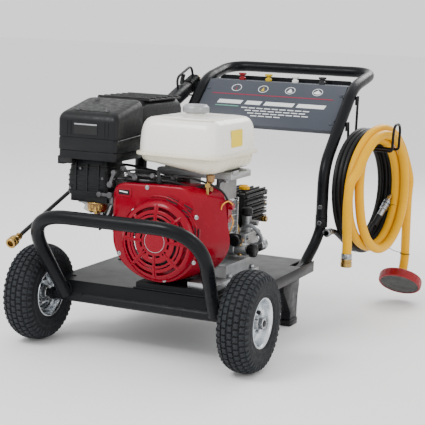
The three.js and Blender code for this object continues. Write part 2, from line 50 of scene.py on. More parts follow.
ORIGIN = Vector(((AXLE_LOW.x + AXLE_HIGH.x) / 2, (AXLE_LOW.y + AXLE_HIGH.y) / 2, 0))
X, Y, Z = (1, 0, 0), (0, 1, 0), (0, 0, 1)
UP = Vector(Z)

WHEEL_R, TRACK_HALF = 130, 307
DECK_FRONT, DECK_TOP, RISER_TOP = -11, 175, 208
SHAFT = CRANK_X, CRANK_Z = 50, 308
HUB = (0, WHEEL_R)
HANDLE_X, JOINT_Y, JOINT_Z = 254, 664, 297
RAIL_X = 237.5
TUBE_R, RAIL_R = 17.5, 16
FILLER = (66, 158)
NOZZLE_Y, NOZZLE_PITCH, SHELF_Z = 942, 92, 676.5
LANCE_X, LANCE_TILT = -295, atan(0.3554)
COIL_TURN = radians(11.5)
YELLOW_D, BLACK_D = 28, 15.5
ROOT = "cart"


def place(point):
    """A point of the cart's frame, in metres in the row frame."""
    return ORIGIN + Vector(point) * MM


def add_object(name, data):
    item = bpy.data.objects.new(name, data)
    bpy.context.scene.collection.objects.link(item)
    return item


# ---- camera, lights and floor ---------------------------------------------------------
def add_camera():
    azimuth, elevation, roll = (radians(a) for a in (24.2, 9.2, 2.1))
    back = Vector((sin(azimuth) * cos(elevation), -cos(azimuth) * cos(elevation), sin(elevation)))
    side = (-back).cross(UP).normalized()
    top = side.cross(-back)
    rolled_side = side * cos(roll) + top * sin(roll)
    rolled_top = top * cos(roll) - side * sin(roll)
    data = bpy.data.cameras.new("camera")
    data.lens, data.sensor_width, data.clip_end = 101.95, 36, 60
    camera = add_object("camera", data)
    turn = Matrix((rolled_side, rolled_top, back)).transposed()
    camera.matrix_world = Matrix.Translation(place((1410, -2703, 874))) @ turn.to_4x4()
    bpy.context.scene.camera = camera


def add_light(name, at_mm, size, power, aim_mm=(40, 400, 400)):
    """A round soft light that looks at the middle of the machine."""
    data = bpy.data.lights.new(name, "AREA")
    data.shape, data.size, data.energy = "DISK", size, power
    light = add_object(name, data)
    light.location = place(at_mm)
    light.rotation_mode = "QUATERNION"
    light.rotation_quaternion = (place(aim_mm) - place(at_mm)).to_track_quat("-Z", "Y")


def add_studio():
    world = bpy.data.worlds.new("studio")
    bpy.context.scene.world = world
    world.use_nodes = True
    sky = world.node_tree.nodes["Background"].inputs
    sky["Color"].default_value, sky["Strength"].default_value = (1, 1, 1, 1), 1.3
    add_light("key", (-900, -1900, 2700), 1.3, 70)
    add_light("fill", (2600, -1100, 1300), 1.4, 14)
    add_light("rim", (400, 3000, 2200), 1.6, 45)
    bpy.ops.mesh.primitive_plane_add(size=60, location=place((0, 400, -1)))
    floor = bpy.context.object
    floor.name = "floor"
    paper = bpy.data.materials.new("floor_paper")
    paper.use_nodes = True
    shader = paper.node_tree.nodes["Principled BSDF"].inputs
    shader["Base Color"].default_value, shader["Roughness"].default_value = (0.93, 0.93, 0.93, 1), 0.9
    floor.data.materials.append(paper)


# ---- materials --------------------------------------------------------------------------
def ramp_between(tree, fac, low, high, a, b):
    """A colour that goes from a to b as fac goes from low to high."""
    node = tree.nodes.new("ShaderNodeValToRGB")
    for element, position, colour in zip(node.color_ramp.elements, (low, high), (a, b)):
        element.position, element.color = position, (*colour, 1)
    tree.links.new(fac, node.inputs["Fac"])
    return node.outputs["Color"]


def noise(tree, scale, detail):
    coords = tree.nodes.new("ShaderNodeTexCoord").outputs["Object"]
    node = tree.nodes.new("ShaderNodeTexNoise")
    node.inputs["Scale"].default_value, node.inputs["Detail"].default_value = scale, detail
    tree.links.new(coords, node.inputs["Vector"])
    return node.outputs["Fac"]


def surface(name, colour, rough, metal=0.0, shine=0.5, vary=0.12, grain=(900, 0.05), spots=6, edge=None,
            rough_vary=0.12):
    """A principled material: colour that drifts over the piece, broken gloss, fine grain and rubbed edges.

    vary and spots are the drift's strength and scale, rough_vary is how far the roughness drifts, grain holds
    the bump's scale and strength, and edge is the colour where the paint is rubbed thin.
    """
    material = bpy.data.materials.new(name)
    material.use_nodes = True
    tree = material.node_tree
    shader = tree.nodes["Principled BSDF"]
    shader.inputs["Metallic"].default_value = metal
    shader.inputs["Specular IOR Level"].default_value = shine
    dark, light = (tuple(min(1, c * share) for c in colour) for share in (1 - vary, 1 + vary))
    tint = ramp_between(tree, noise(tree, spots, 6), 0.35, 0.65, dark, light)
    if edge:
        pointed = tree.nodes.new("ShaderNodeNewGeometry").outputs["Pointiness"]
        worn = ramp_between(tree, pointed, 0.53, 0.58, (0, 0, 0), (1, 1, 1))
        mix = tree.nodes.new("ShaderNodeMix")
        mix.data_type = "RGBA"
        tree.links.new(worn, mix.inputs["Factor"])
        tree.links.new(tint, mix.inputs["A"])
        mix.inputs["B"].default_value = (*edge, 1)
        tint = mix.outputs["Result"]
    tree.links.new(tint, shader.inputs["Base Color"])
    low, high = max(0.03, rough - rough_vary), min(1, rough + rough_vary)
    gloss = ramp_between(tree, noise(tree, spots * 7, 5), 0.3, 0.7, (low,) * 3, (high,) * 3)
    tree.links.new(gloss, shader.inputs["Roughness"])
    bump = tree.nodes.new("ShaderNodeBump")
    bump.inputs["Distance"].default_value = 0.001
    bump.inputs["Strength"].default_value = grain[1]
    tree.links.new(noise(tree, grain[0], 3), bump.inputs["Height"])
    tree.links.new(bump.outputs["Normal"], shader.inputs["Normal"])
    return material


FINISHES = {
    "frame_paint": surface("frame_powder_coat", (0.0045, 0.005, 0.0065), 0.34, grain=(700, 0.08), shine=0.14,
                           edge=(0.012, 0.013, 0.015)),
    "deck_paint": surface("deck_powder_coat", (0.0045, 0.005, 0.006), 0.32, grain=(520, 0.12), spots=3, shine=0.1,
                          rough_vary=0.04, edge=(0.009, 0.0095, 0.0105)),
    "panel_paint": surface("panel_enamel", (0.045, 0.052, 0.068), 0.42, grain=(800, 0.06), vary=0.05, shine=0.35),
    "tyre_rubber": surface("tyre_rubber", (0.008, 0.0088, 0.0105), 0.7, grain=(420, 0.35), vary=0.3, spots=14,
                           shine=0.25, edge=(0.022, 0.025, 0.029)),
    "rim_zinc": surface("zinc_plate", (0.60, 0.63, 0.66), 0.26, metal=1, vary=0.1, spots=22, grain=(260, 0.1)),
    "red_paint": surface("red_enamel", (0.23, 0.0, 0.010), 0.22, vary=0.05, grain=(350, 0.05), shine=0.2,
                         edge=(0.25, 0.002, 0.015)),
    "tank_paint": surface("ivory_enamel", (0.88, 0.865, 0.80), 0.24, vary=0.015, grain=(260, 0.04)),
    # A darker copy of the tank's ivory paint for the lower pan and seam: painted shade under the tank's lip, not a
    # second paint.
    "tank_paint_shaded": surface("ivory_enamel_painted_shade", (0.76, 0.72, 0.56), 0.3, vary=0.03, grain=(260, 0.05)),
    "black_plastic": surface("black_moulding", (0.006, 0.0065, 0.0075), 0.42, vary=0.25, grain=(650, 0.22),
                             spots=12, shine=0.22),
    "black_steel": surface("black_heat_paint", (0.006, 0.0062, 0.007), 0.46, vary=0.3, grain=(420, 0.22),
                           shine=0.25, edge=(0.02, 0.02, 0.021), spots=16),
    "cast_alloy": surface("cast_alloy", (0.22, 0.225, 0.23), 0.42, metal=0.85, vary=0.25, grain=(330, 0.5),
                          spots=18, edge=(0.40, 0.41, 0.42)),
    "bare_steel": surface("plated_steel", (0.34, 0.35, 0.36), 0.26, metal=1, vary=0.14, grain=(900, 0.06),
                          spots=30),
    "dull_steel": surface("dull_steel", (0.11, 0.11, 0.115), 0.4, metal=0.9, vary=0.2, grain=(600, 0.1), spots=40),
    "brass": surface("turned_brass", (0.46, 0.29, 0.085), 0.26, metal=1, vary=0.18, grain=(700, 0.08), spots=30),
    "yellow_pvc": surface("yellow_hose", (0.76, 0.38, 0.0), 0.34, vary=0.05, grain=(300, 0.12), spots=9,
                          shine=0.12),
    "black_rubber": surface("black_hose", (0.005, 0.005, 0.0056), 0.42, vary=0.25, grain=(900, 0.22), spots=12,
                            shine=0.25),
    "nozzle_red_pvc": surface("red_tip", (0.24, 0.0, 0.006), 0.35, vary=0.06),
    "nozzle_yellow_pvc": surface("yellow_tip", (0.62, 0.42, 0.0), 0.35, vary=0.06),
    "nozzle_white_pvc": surface("white_tip", (0.80, 0.80, 0.78), 0.35, vary=0.03),
    "nozzle_black_pvc": surface("black_tip", (0.015, 0.015, 0.017), 0.35, vary=0.2),
    "strainer_red_pvc": surface("strainer_rim", (0.24, 0.002, 0.006), 0.4, vary=0.1, spots=20, shine=0.4),
    "white_print": surface("white_ink", (0.75, 0.76, 0.77), 0.5, vary=0.04),
    "red_print": surface("red_ink", (0.26, 0.0, 0.03), 0.5, vary=0.04),
    "yellow_print": surface("yellow_label", (0.85, 0.62, 0.0), 0.4, vary=0.03),
    "green_print": surface("green_ink", (0.10, 0.30, 0.22), 0.5, vary=0.05),
    "plate": surface("blank_plate", (0.33, 0.34, 0.35), 0.4, metal=0.5, vary=0.06, spots=40),
    # Near-black stand-in for open slots and mouths: painted shade where light does not reach inside.
    "painted_shade": surface("painted_shade_gap", (0.006, 0.006, 0.007), 0.8, vary=0.3),
    "wire_mesh": surface("woven_wire", (0.12, 0.125, 0.12), 0.42, metal=0.8, vary=0.2, spots=40),
    "copper": surface("petcock_body", (0.26, 0.15, 0.065), 0.35, metal=0.8, vary=0.15, spots=40),
    "orange_wire": surface("orange_wire", (0.75, 0.30, 0.02), 0.4, vary=0.05),
    "grey_hose": surface("grey_hose", (0.20, 0.21, 0.22), 0.5, vary=0.1),
}


# ---- mesh building ----------------------------------------------------------------------
def angles(count, closed=False):
    """Even angles round a circle; a closed list ends where it started."""
    return [2 * pi * i / count for i in range(count + closed)]


def on_axis(axis, station, radius, angle, at):
    """A point beside an axis: at holds the axis's place in the other two directions."""
    u, v = at[0] + radius * cos(angle), at[1] + radius * sin(angle)
    return level([(u, v)], axis, station)[0]


def level(outline, axis, station):
    """The outline's [u, v] pairs as points where the axis is at station."""
    slot = "xyz".index(axis)
    return [(*pair[:slot], station, *pair[slot:]) for pair in outline]


def round_rect(u0, u1, v0, v1, r, per_corner=6):
    corners = ((u1 - r, v1 - r), (u0 + r, v1 - r), (u0 + r, v0 + r), (u1 - r, v0 + r))
    points = []
    for quarter, (cu, cv) in enumerate(corners):
        for i in range(per_corner + 1):
            t = (quarter + i / per_corner) * pi / 2
            points.append((cu + r * cos(t), cv + r * sin(t)))
    return points


def bent_path(points, bends, steps=10):
    """A polyline with each corner rounded, from bend before it to bend after it."""
    points = [Vector(p) for p in points]
    path = [points[0]]
    for i, bend in enumerate(bends, 1):
        corner = points[i]
        enter = corner + (points[i - 1] - corner).normalized() * bend
        leave = corner + (points[i + 1] - corner).normalized() * bend
        for k in range(steps + 1):
            t = k / steps
            path.append(enter * (1 - t) ** 2 + corner * 2 * t * (1 - t) + leave * t * t)
    return [*path, points[-1]]


def smooth_path(points, per_span=8):
    """A Catmull-Rom curve through the points."""
    points = [Vector(p) for p in points]
    ends = [points[0] * 2 - points[1], *points, points[-1] * 2 - points[-2]]
    path = []
    for i in range(len(points) - 1):
        a, b, c, d = ends[i:i + 4]
        for k in range(per_span):
            t = k / per_span
            path.append(0.5 * (2 * b + (c - a) * t + (2 * a - 5 * b + 4 * c - d) * t * t
                               + (3 * b - a - 3 * c + d) * t ** 3))
    return [*path, points[-1]]


class Shape:
    """Points in the cart's frame, in millimetres, and the faces between them."""

    def __init__(self):
        self.points, self.faces = [], []

    def add(self, points, faces):
        start = len(self.points)
        self.points += [Vector(p) for p in points]
        self.faces += [[i + start for i in face] for face in faces]
        return self

    def skin(self, rings, caps=True, wrap=False):
        """Faces between closed rings that have the same number of points."""
        n, count = len(rings[0]), len(rings)
        faces = [[s * n + i, s * n + (i + 1) % n, (s + 1) % count * n + (i + 1) % n, (s + 1) % count * n + i]
                 for s in range(count if wrap else count - 1) for i in range(n)]
        if caps and not wrap:
            faces += [list(range(n))[::-1], [(count - 1) * n + i for i in range(n)]]
        return self.add([p for ring in rings for p in ring], faces)

    def slab(self, axis, outline, a, b):
        """An outline of [u, v] pairs, drawn out along an axis from a to b."""
        return self.skin([level(outline, axis, station) for station in (a, b)])

    def box(self, x0, x1, y0, y1, z0, z1):
        return self.slab("z", [(x0, y0), (x1, y0), (x1, y1), (x0, y1)], z0, z1)

    def lathe(self, axis, profile, at=(0, 0), sides=48, caps=True, wrap=False):
        """profile holds [radius, station] pairs along the axis."""
        rings = [[on_axis(axis, s, max(r, 0.01), t, at) for t in angles(sides)] for r, s in profile]
        return self.skin(rings, caps, wrap)

    def washer(self, axis, inner, outer, a, b, at, sides=32):
        return self.lathe(axis, [(inner, a), (outer, a), (outer, b), (inner, b)], at, sides, wrap=True)

    def rod(self, axis, r, a, b, at=(0, 0), sides=28, chamfer=0.8):
        a, b = sorted((a, b))
        c = min(chamfer, r / 3, (b - a) / 3)
        return self.lathe(axis, [(r - c, a), (r, a + c), (r, b - c), (r - c, b)], at, sides)

    def hex_head(self, axis, across, a, b, at=(0, 0)):
        a, b = sorted((a, b))
        r = across / sqrt(3)
        return self.lathe(axis, [(r * 0.9, a), (r, a + 1), (r, b - 1), (r * 0.9, b)], at, 6)

    def tube(self, path, r, sides=14):
        """A round tube along a path; r is a number, or a function of the share of the way along."""
        path = [Vector(p) for p in path]
        normal, rings = None, []
        for i, p in enumerate(path):
            ahead = (path[min(i + 1, len(path) - 1)] - path[max(i - 1, 0)]).normalized()
            if normal is None:
                normal = ahead.cross(UP if abs(ahead.z) < 0.9 else Vector(X)).normalized()
            normal = (normal - ahead * normal.dot(ahead)).normalized()
            other = ahead.cross(normal)
            radius = r(i / (len(path) - 1)) if callable(r) else r
            rings.append([p + (normal * cos(t) + other * sin(t)) * radius for t in angles(sides)])
        return self.skin(rings)

    def bead(self, path, r, ripple, waves, sides=8):
        """A weld bead: a tube whose width ripples along it."""
        return self.tube(path, lambda s: r + ripple * sin(s * waves), sides)

    def wire(self, points, r, sides=10):
        """A tube along a smooth curve through the points."""
        return self.tube(smooth_path(points), r, sides)

    def turn(self, axis, angle, about=(0, 0, 0)):
        rotation = Matrix.Rotation(angle, 3, Vector(axis))
        self.points = [Vector(about) + rotation @ (p - Vector(about)) for p in self.points]
        return self

    def shift(self, offset):
        self.points = [p + Vector(offset) for p in self.points]
        return self

    def aim(self, tip, axis):
        """Stands the shape's Z axis along another axis, with its origin at tip."""
        turn = UP.rotation_difference(axis).to_matrix()
        self.points = [tip + turn @ p for p in self.points]
        return self

    def join(self, other):
        return self.add(other.points, other.faces)

    def around(self, make, count, axis, at=(0, 0, 0)):
        """What make() gives, count times round an axis through at."""
        for t in angles(count):
            self.join(make().turn(axis, t).shift(at))
        return self

    def build(self, name, finish, body=ROOT, replaces=(), bevel=0.0, angle=35, thick=0.0, segments=2):
        mesh = bpy.data.meshes.new(name)
        mesh.from_pydata([place(p) for p in self.points], [], self.faces)
        work = bmesh.new()
        work.from_mesh(mesh)
        bmesh.ops.recalc_face_normals(work, faces=work.faces)
        work.to_mesh(mesh)
        work.free()
        mesh.polygons.foreach_set("use_smooth", [True] * len(mesh.polygons))
        piece = add_object(name, mesh)
        mesh.materials.append(FINISHES[finish])
        if thick:
            wall = piece.modifiers.new("wall", "SOLIDIFY")
            wall.thickness, wall.offset = thick * MM, -1
        if bevel:
            soften(piece, bevel, segments)
        else:
            mesh.set_sharp_from_angle(angle=radians(angle))
        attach(piece, body)
        if replaces:
            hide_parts(replaces)
        return piece


def soften(piece, width, segments=2, angle=30):
    """Rounds the edges of a piece."""
    edge = piece.modifiers.new("edge", "BEVEL")
    edge.width, edge.segments, edge.limit_method = width * MM, segments, "ANGLE"
    edge.angle_limit, edge.harden_normals = radians(angle), True


def keep(node, finish, bevel=0.8):
    """A CAD node that stays, with its edges rounded and a full material."""
    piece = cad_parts[node]
    piece.data.materials.clear()
    piece.data.materials.append(FINISHES[finish])
    piece.data.polygons.foreach_set("use_smooth", [True] * len(piece.data.polygons))
    weld = piece.modifiers.new("weld", "WELD")
    weld.merge_threshold = 0.02 * MM
    soften(piece, bevel, 2, 28)


def bolts(spots, axis, reach, across=13, washer=9, depth=6):
    """Hex heads with washers; each spot is the middle of the seat, and reach is +1 or -1 along the axis."""
    shape, washer_depth = Shape(), reach * 1.5
    for x, y, z in spots:
        seat, at = {"x": (x, (y, z)), "y": (y, (x, z)), "z": (z, (x, y))}[axis]
        shape.rod(axis, washer, seat, seat + washer_depth, at, 20, 0.3)
        shape.hex_head(axis, across, seat + washer_depth, seat + reach * (1.5 + depth), at)
    return shape


# ---- hoses ------------------------------------------------------------------------------
def ring_point(centre, axial, across, rise):
    """A point given beside a coil's middle: along its axis, across it and up."""
    x = centre[0] + axial * cos(COIL_TURN) + across * sin(COIL_TURN)
    y = centre[1] - axial * sin(COIL_TURN) + across * cos(COIL_TURN)
    return Vector((x, y, centre[2] + rise))


def between(keys, s):
    """Values at s along a table of (s, value, value) rows, eased between rows."""
    for (s0, *low), (s1, *high) in zip(keys, keys[1:]):
        if s <= s1:
            t = max(0, (s - s0) / (s1 - s0))
            t = t * t * (3 - 2 * t)
            return [a + (b - a) * t for a, b in zip(low, high)]
    return keys[-1][1:]


def coil(centre, outer, lay, first, direction, made, steps):
    """The middle line of a hanging coil.

    outer holds its half height and half depth, lay its rows of (turns made, place along the axis, depth inside
    the outer surface), first the angle it starts at, and made how many turns it has.
    """
    points, start = [], lay[0][0]
    for i in range(steps + 1):
        turns = start + (made - start) * i / steps
        axial, inset = between(lay, turns)
        angle = first + direction * 2 * pi * turns
        points.append(ring_point(centre, axial, (outer[1] - inset) * cos(angle), (outer[0] - inset) * sin(angle)))
    return points


def hose(name, path, diameter, finish, replaces, pieces):
    data = bpy.data.curves.new(name, "CURVE")
    data.dimensions, data.bevel_depth, data.bevel_resolution = "3D", diameter / 2 * MM, 5
    data.use_fill_caps = True
    spline = data.splines.new("POLY")
    spline.points.add(len(path) - 1)
    for point, p in zip(spline.points, path):
        point.co = (*place(p), 1)
    spline.use_smooth = True
    piece = add_object(name, data)
    data.materials.append(FINISHES[finish])
    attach(piece, ROOT)
    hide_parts(*replaces)
    return piece


def cable_tie(name, middle, axis, radius, tail):
    """A thin black strap round a hose with its loose tail."""
    axis = Vector(axis).normalized()
    side = axis.cross(UP).normalized()
    other = axis.cross(side)
    loop = [Vector(middle) + (side * cos(t) + other * sin(t)) * radius for t in angles(28, closed=True)]
    shape = Shape().tube(loop, 1.3, 6)
    shape.tube(smooth_path([loop[0], *(Vector(middle) + Vector(p) for p in tail)], 6), 1.0, 6)
    return shape.build(name, "black_plastic")


def add_yellow_hose():
    lay = [(0.06, 11, 0), (0.14, 15, 12), (0.25, 14, 26), (0.5, 14, 40), (0.75, 15, 30), (0.95, 9, 42),
           (1.2, -14, 42), (1.5, -14, 42), (1.75, -14, 34), (2.0, -14, 13), (2.2, -10, 12), (2.36, -5, 3),
           (2.44, -2, -6)]
    end_at = (352, 620)
    front = [(*end_at, 206), (*end_at, 232), (350, 619, 270), (348, 618, 320), (348, 619, 370), (352, 624, 415)]
    rear = [(424, 995, 400), (423, 1001, 355), (422, 1002, 330), (422, 1004, 260), (423, 1005, 190),
            (424, 1004, 140), (424, 993, 106), (424, 986.5, 97.5)]
    loops = coil((384, 811, 368), (202, 178), lay, pi, -1, lay[-1][0], 110)
    path = smooth_path([*front, *loops[::3], *rear], 6)
    coupling = Shape().lathe("z", [(15.6, 166), (17, 167.5), (17, 180), (15.2, 181), (15.2, 184), (16.6, 185),
                                   (16.6, 190)], end_at, 40)
    for i in range(6):
        coupling.rod("z", 16.9, 168 + i * 2, 169.1 + i * 2, end_at, 40, 0.4)
    band = Shape().lathe("z", [(14.8, 189), (15.8, 190), (15.8, 204), (14.8, 205.6)], end_at, 40)
    band.box(345, 359, 602.5, 606, 193, 201)
    nut = coupling.build("hose_end_nut", "brass", replaces="yellow_hose_coupling")
    clamp = band.build("hose_end_band", "bare_steel")
    strainer = add_strainer()
    tie = cable_tie("hose_tie", (424, 1004, 150), (0, 0.1, 1), 15.4, [(-26, -8, 6), (-44, -16, 14), (-58, -26, 24)])
    hose("yellow_hose", path, YELLOW_D, "yellow_pvc",
         ["yellow_hose_coil", "yellow_hose_front_end", "yellow_hose_rear_end"],
         [nut, clamp, tie, *strainer])


def add_strainer():
    """A round inlet strainer: red rim and back, woven wire over the open face."""
    about, tilt = (424, 968, 70), radians(-37)
    mesh_r, pitch = 61, 3.15

    def tilted(shape):
        return shape.shift(about).turn(X, tilt, about)
    rim = Shape().lathe("z", [(60.5, -12), (60.5, -15), (65, -15), (67.4, -12.5), (67.4, 8.5), (65.4, 11.5),
                              (62, 13), (22, 15), (19, 17), (18, 19), (18, 29.5)], sides=72, caps=False)
    rim.around(lambda: Shape().box(67, 68, -1.6, 1.6, -9, 7), 24, Z)
    rim.lathe("z", [(18, 19.5), (19.6, 20), (19.6, 28), (18, 28.5)], sides=40)
    red = tilted(rim).build("strainer_rim", "strainer_red_pvc", replaces="yellow_hose_strainer")
    wires = Shape()
    for i in range(-19, 20):
        u = i * pitch
        half = sqrt(max(0, mesh_r ** 2 - u * u))
        wires.tube([(u, -half, -13.4), (u, 0, -13.9), (u, half, -13.4)], 0.62, 5)
        wires.tube([(-half, u, -13.0), (0, u, -13.5), (half, u, -13.0)], 0.62, 5)
    wires.lathe("z", [(0.2, -12), (mesh_r, -12), (mesh_r, -8), (0.2, -8)])
    return [red, tilted(wires).build("strainer_net", "wire_mesh")]


def add_black_hose():
    centre, end_at = (331, 822, 368), (292, 262)
    # Where each turn lies in the bundle: place along the axis, depth inside the outer surface.
    cells = [(-15, 8), (0, 8), (15, 8), (15, 23.5), (0, 23.5), (-15, 23.5), (-15, 39), (0, 39)]
    lay = [(i + share, *cell) for i, cell in enumerate(cells) for share in (0.02, 0.72)]
    loops = coil(centre, (192, 172), lay, radians(232), 1, 7.14, 210)
    front = [(292, 634, 262), (293, 650, 261), (296, 668, 257), (300, 690, 246)]
    # The inner end leaves the coil low at the back and leans up across the opening.
    rear = [ring_point(centre, *spot) for spot in ((8, 52, -116), (15, 72, -96), (20, 88, -74))]
    path = smooth_path([*front, *loops[2::2], *rear], 4)
    nut = Shape().lathe("y", [(9, 604), (12, 605), (12, 618), (11, 619)], end_at, 6)
    nut.lathe("y", [(7, 604), (12.2, 606), (12.2, 616), (7, 617)], end_at, 40)
    nut.lathe("y", [(8.5, 618), (8.5, 624), (10.6, 625), (10.6, 640), (9, 641), (8, 641)], end_at, 32)
    coupler = quick_coupler(path[-1], (path[-1] - path[-4]).normalized())
    hose("black_hose", path, BLACK_D, "black_rubber", ["black_hose_coil"],
         [nut.build("hose_nut", "bare_steel", replaces="black_hose_nut"), *coupler])


def quick_coupler(tip, lean):
    """The fitting on the hose's far end, drawn along Z and aimed from the tip."""
    sleeve = Shape().lathe("z", [(9.6, -14), (9.6, 8), (12.5, 10), (12.5, 15), (11.5, 16), (11.5, 20), (12.5, 21),
                                 (12.5, 38), (9, 41), (9, 44)], sides=36)
    plug = Shape().lathe("z", [(6.5, 43), (6.5, 50), (8.2, 51), (8.2, 54), (5.4, 56), (5.4, 64), (4.4, 65.5)],
                         sides=28)
    guard = Shape().lathe("z", [(8, -52), (10, -50), (10.6, -14), (8, -13)], sides=28)
    loop = [(13.3 * cos(t), 13.3 * sin(t), 30) for t in angles(24, closed=True)]
    tie = Shape().tube(loop, 1.1, 6)
    tie.tube(smooth_path([loop[0], (24, -12, 32), (34, -20, 30)], 5), 0.9, 6)
    return [shape.aim(tip, lean).build(f"coupler_{name}", finish)
            for shape, name, finish in ((sleeve, "sleeve", "bare_steel"), (plug, "plug", "brass"),
                                        (guard, "bend_guard", "black_rubber"), (tie, "tie", "black_plastic"))]


# ---- cart -------------------------------------------------------------------------------
def both_sides(right):
    """A path along the right side and back along the left."""
    return [*right, *((-x, y, z) for x, y, z in right[::-1])]


def add_tubes():
    handle = both_sides([(HANDLE_X, JOINT_Y, JOINT_Z), (HANDLE_X, JOINT_Y, 448), (HANDLE_X, 903, 674),
                         (HANDLE_X, 1112, 714)])
    Shape().tube(bent_path(handle, (60, 55, 72, 72, 55, 60), 12), TUBE_R, 36).build(
        "push_handle", "frame_paint", replaces="handle")
    arch = Shape().tube(bent_path(both_sides([(217.5, -15, 138), (246, -172, 372)]), (126, 126), 18), TUBE_R, 36)
    arch.points = [Vector((p.x, min(p.y, DECK_FRONT - 0.4), p.z)) for p in arch.points]
    arch.build("front_hoop", "frame_paint", replaces="front_arch")
    rail = [(RAIL_X, 14, 155), (RAIL_X, 250, 155), (RAIL_X, 470, 155), (RAIL_X, 535, 157), (RAIL_X, 574, 166),
            (238, 608, 187), (244, 638, 217), (251, 658, 254), (HANDLE_X, JOINT_Y, 284),
            (HANDLE_X, JOINT_Y, JOINT_Z - 0.4)]
    for side, name in ((1, "right"), (-1, "left")):
        path = smooth_path([(side * x, y, z) for x, y, z in rail])
        Shape().tube(path, RAIL_R, 32).build(f"rail_{name}", "frame_paint", replaces=f"frame_rail_{name}")
        keep(f"rear_leg_{name}", "frame_paint", 2.0)
        keep(f"rear_foot_{name}", "black_rubber", 2.0)


def add_joints():
    """Sleeves, pinch bolts and weld beads where the tubes meet."""
    seats, beads = [], Shape()
    for side, name in ((1, "right"), (-1, "left")):
        x = side * HANDLE_X
        sleeve = Shape()
        for profile in ([(16.2, -29), (18.4, -27.5), (18.4, -1.2), (16.2, 0)],
                        [(17.4, 0.4), (18.4, 1), (18.4, 6), (17.4, 7)]):
            sleeve.lathe("z", [(r, JOINT_Z + z) for r, z in profile], (x, JOINT_Y), 32)
        sleeve.build(f"joint_sleeve_{name}", "frame_paint")
        seats += [(x, 646.6, 330), (x, 646, 283)]
        for y, z, lean in ((598, 173.4, 1.8), (470, 168, 0)):
            beads.bead([(side * RAIL_X + 16.6 * cos(t), y + lean * sin(t), z + 2 * sin(t))
                        for t in angles(26, closed=True)], 1.6, 0.35, 130)
    bolts(seats, "y", -1, 10, 7, 4).build("handle_bolts", "bare_steel")
    for side in (1, -1):
        beads.bead([(side * 220 + 18.4 * cos(t), DECK_FRONT - 2.2, 150 + 21 * sin(t))
                    for t in angles(30, closed=True)], 2.0, 0.4, 150)
    beads.build("weld_beads", "frame_paint")


def add_deck():
    keep("deck", "deck_paint", 1.6)
    keep("axle", "black_steel", 0.6)
    # The tube that carries the axle runs under the front edge.
    tube_end = TRACK_HALF - 50
    tube = Shape().rod("x", 14.5, -tube_end, tube_end, HUB, 36, 1.5)
    for side in (1, -1):
        tube.rod("x", 17, side * (tube_end + 1), side * (tube_end + 12), HUB, 32, 1)
    tube.build("axle_tube", "frame_paint")
    beads = Shape()
    for y in (-9, 9):
        beads.bead([(x, y, 141.5) for x in range(-250, 251, 10)], 1.5, 0.4, 700, 6)
    beads.build("axle_weld", "frame_paint")
    seats = [(x, y, RISER_TOP) for x in (6, 198) for y in (112, 262)]
    bolts(seats, "z", 1, 15, 12, 8).build("engine_bolts", "bare_steel")
    lids = Shape()
    for at in ((-225, 40), (-225, 300), (-225, 560), (225, 300)):
        lids.lathe("z", [(8, DECK_TOP), (8, DECK_TOP + 1), (5.5, DECK_TOP + 3), (0.1, DECK_TOP + 3.8)], at, 24)
    lids.build("deck_rivets", "deck_paint")
    seat = Shape().box(-20, 210, -6, 294, DECK_TOP + 0.2, DECK_TOP + 4)
    seat.build("engine_seat_flange", "frame_paint", bevel=1.2)


# ---- wheels -----------------------------------------------------------------------------
TREAD_ROWS = ((-30, 11.5, 0.5), (-15.5, 12.5, 0), (0, 12.5, 0.5), (15.5, 12.5, 0), (30, 11.5, 0.5))
TREAD_COUNT = 46
TREAD_DEPTH = 4.2


def crown(x):
    """Radius of the tread surface at x from the wheel's middle plane."""
    return WHEEL_R - 12.5 * (abs(x) / 38) ** 2.7


def mirrored(half, middle=()):
    """A wheel profile of [radius, place] pairs, and the same again on the other side."""
    return [*half, *middle, *((r, -s) for r, s in half[::-1])]


def tread_block(shape, wheel_x, x0, width, middle, half_angle):
    """One rubber block: an outline in (x, angle) stood up from the carcass."""
    a, w = half_angle, width / 2
    outline = [(-w, -a * 0.5), (-w * 0.55, -a), (w * 0.3, -a * 0.86), (w, -a), (w * 0.8, 0), (w, a * 0.5),
               (w * 0.55, a), (-w * 0.3, a * 0.86), (-w, a), (-w * 0.8, 0)]
    rings = []
    for drop, size in ((4.6, 1.0), (0.7, 0.93), (0, 0.82)):
        spots = [(x0 + dx * size, middle + da * size) for dx, da in outline]
        rings.append([on_axis("x", wheel_x + x, crown(x) - drop, t, HUB) for x, t in spots])
    shape.skin(rings)


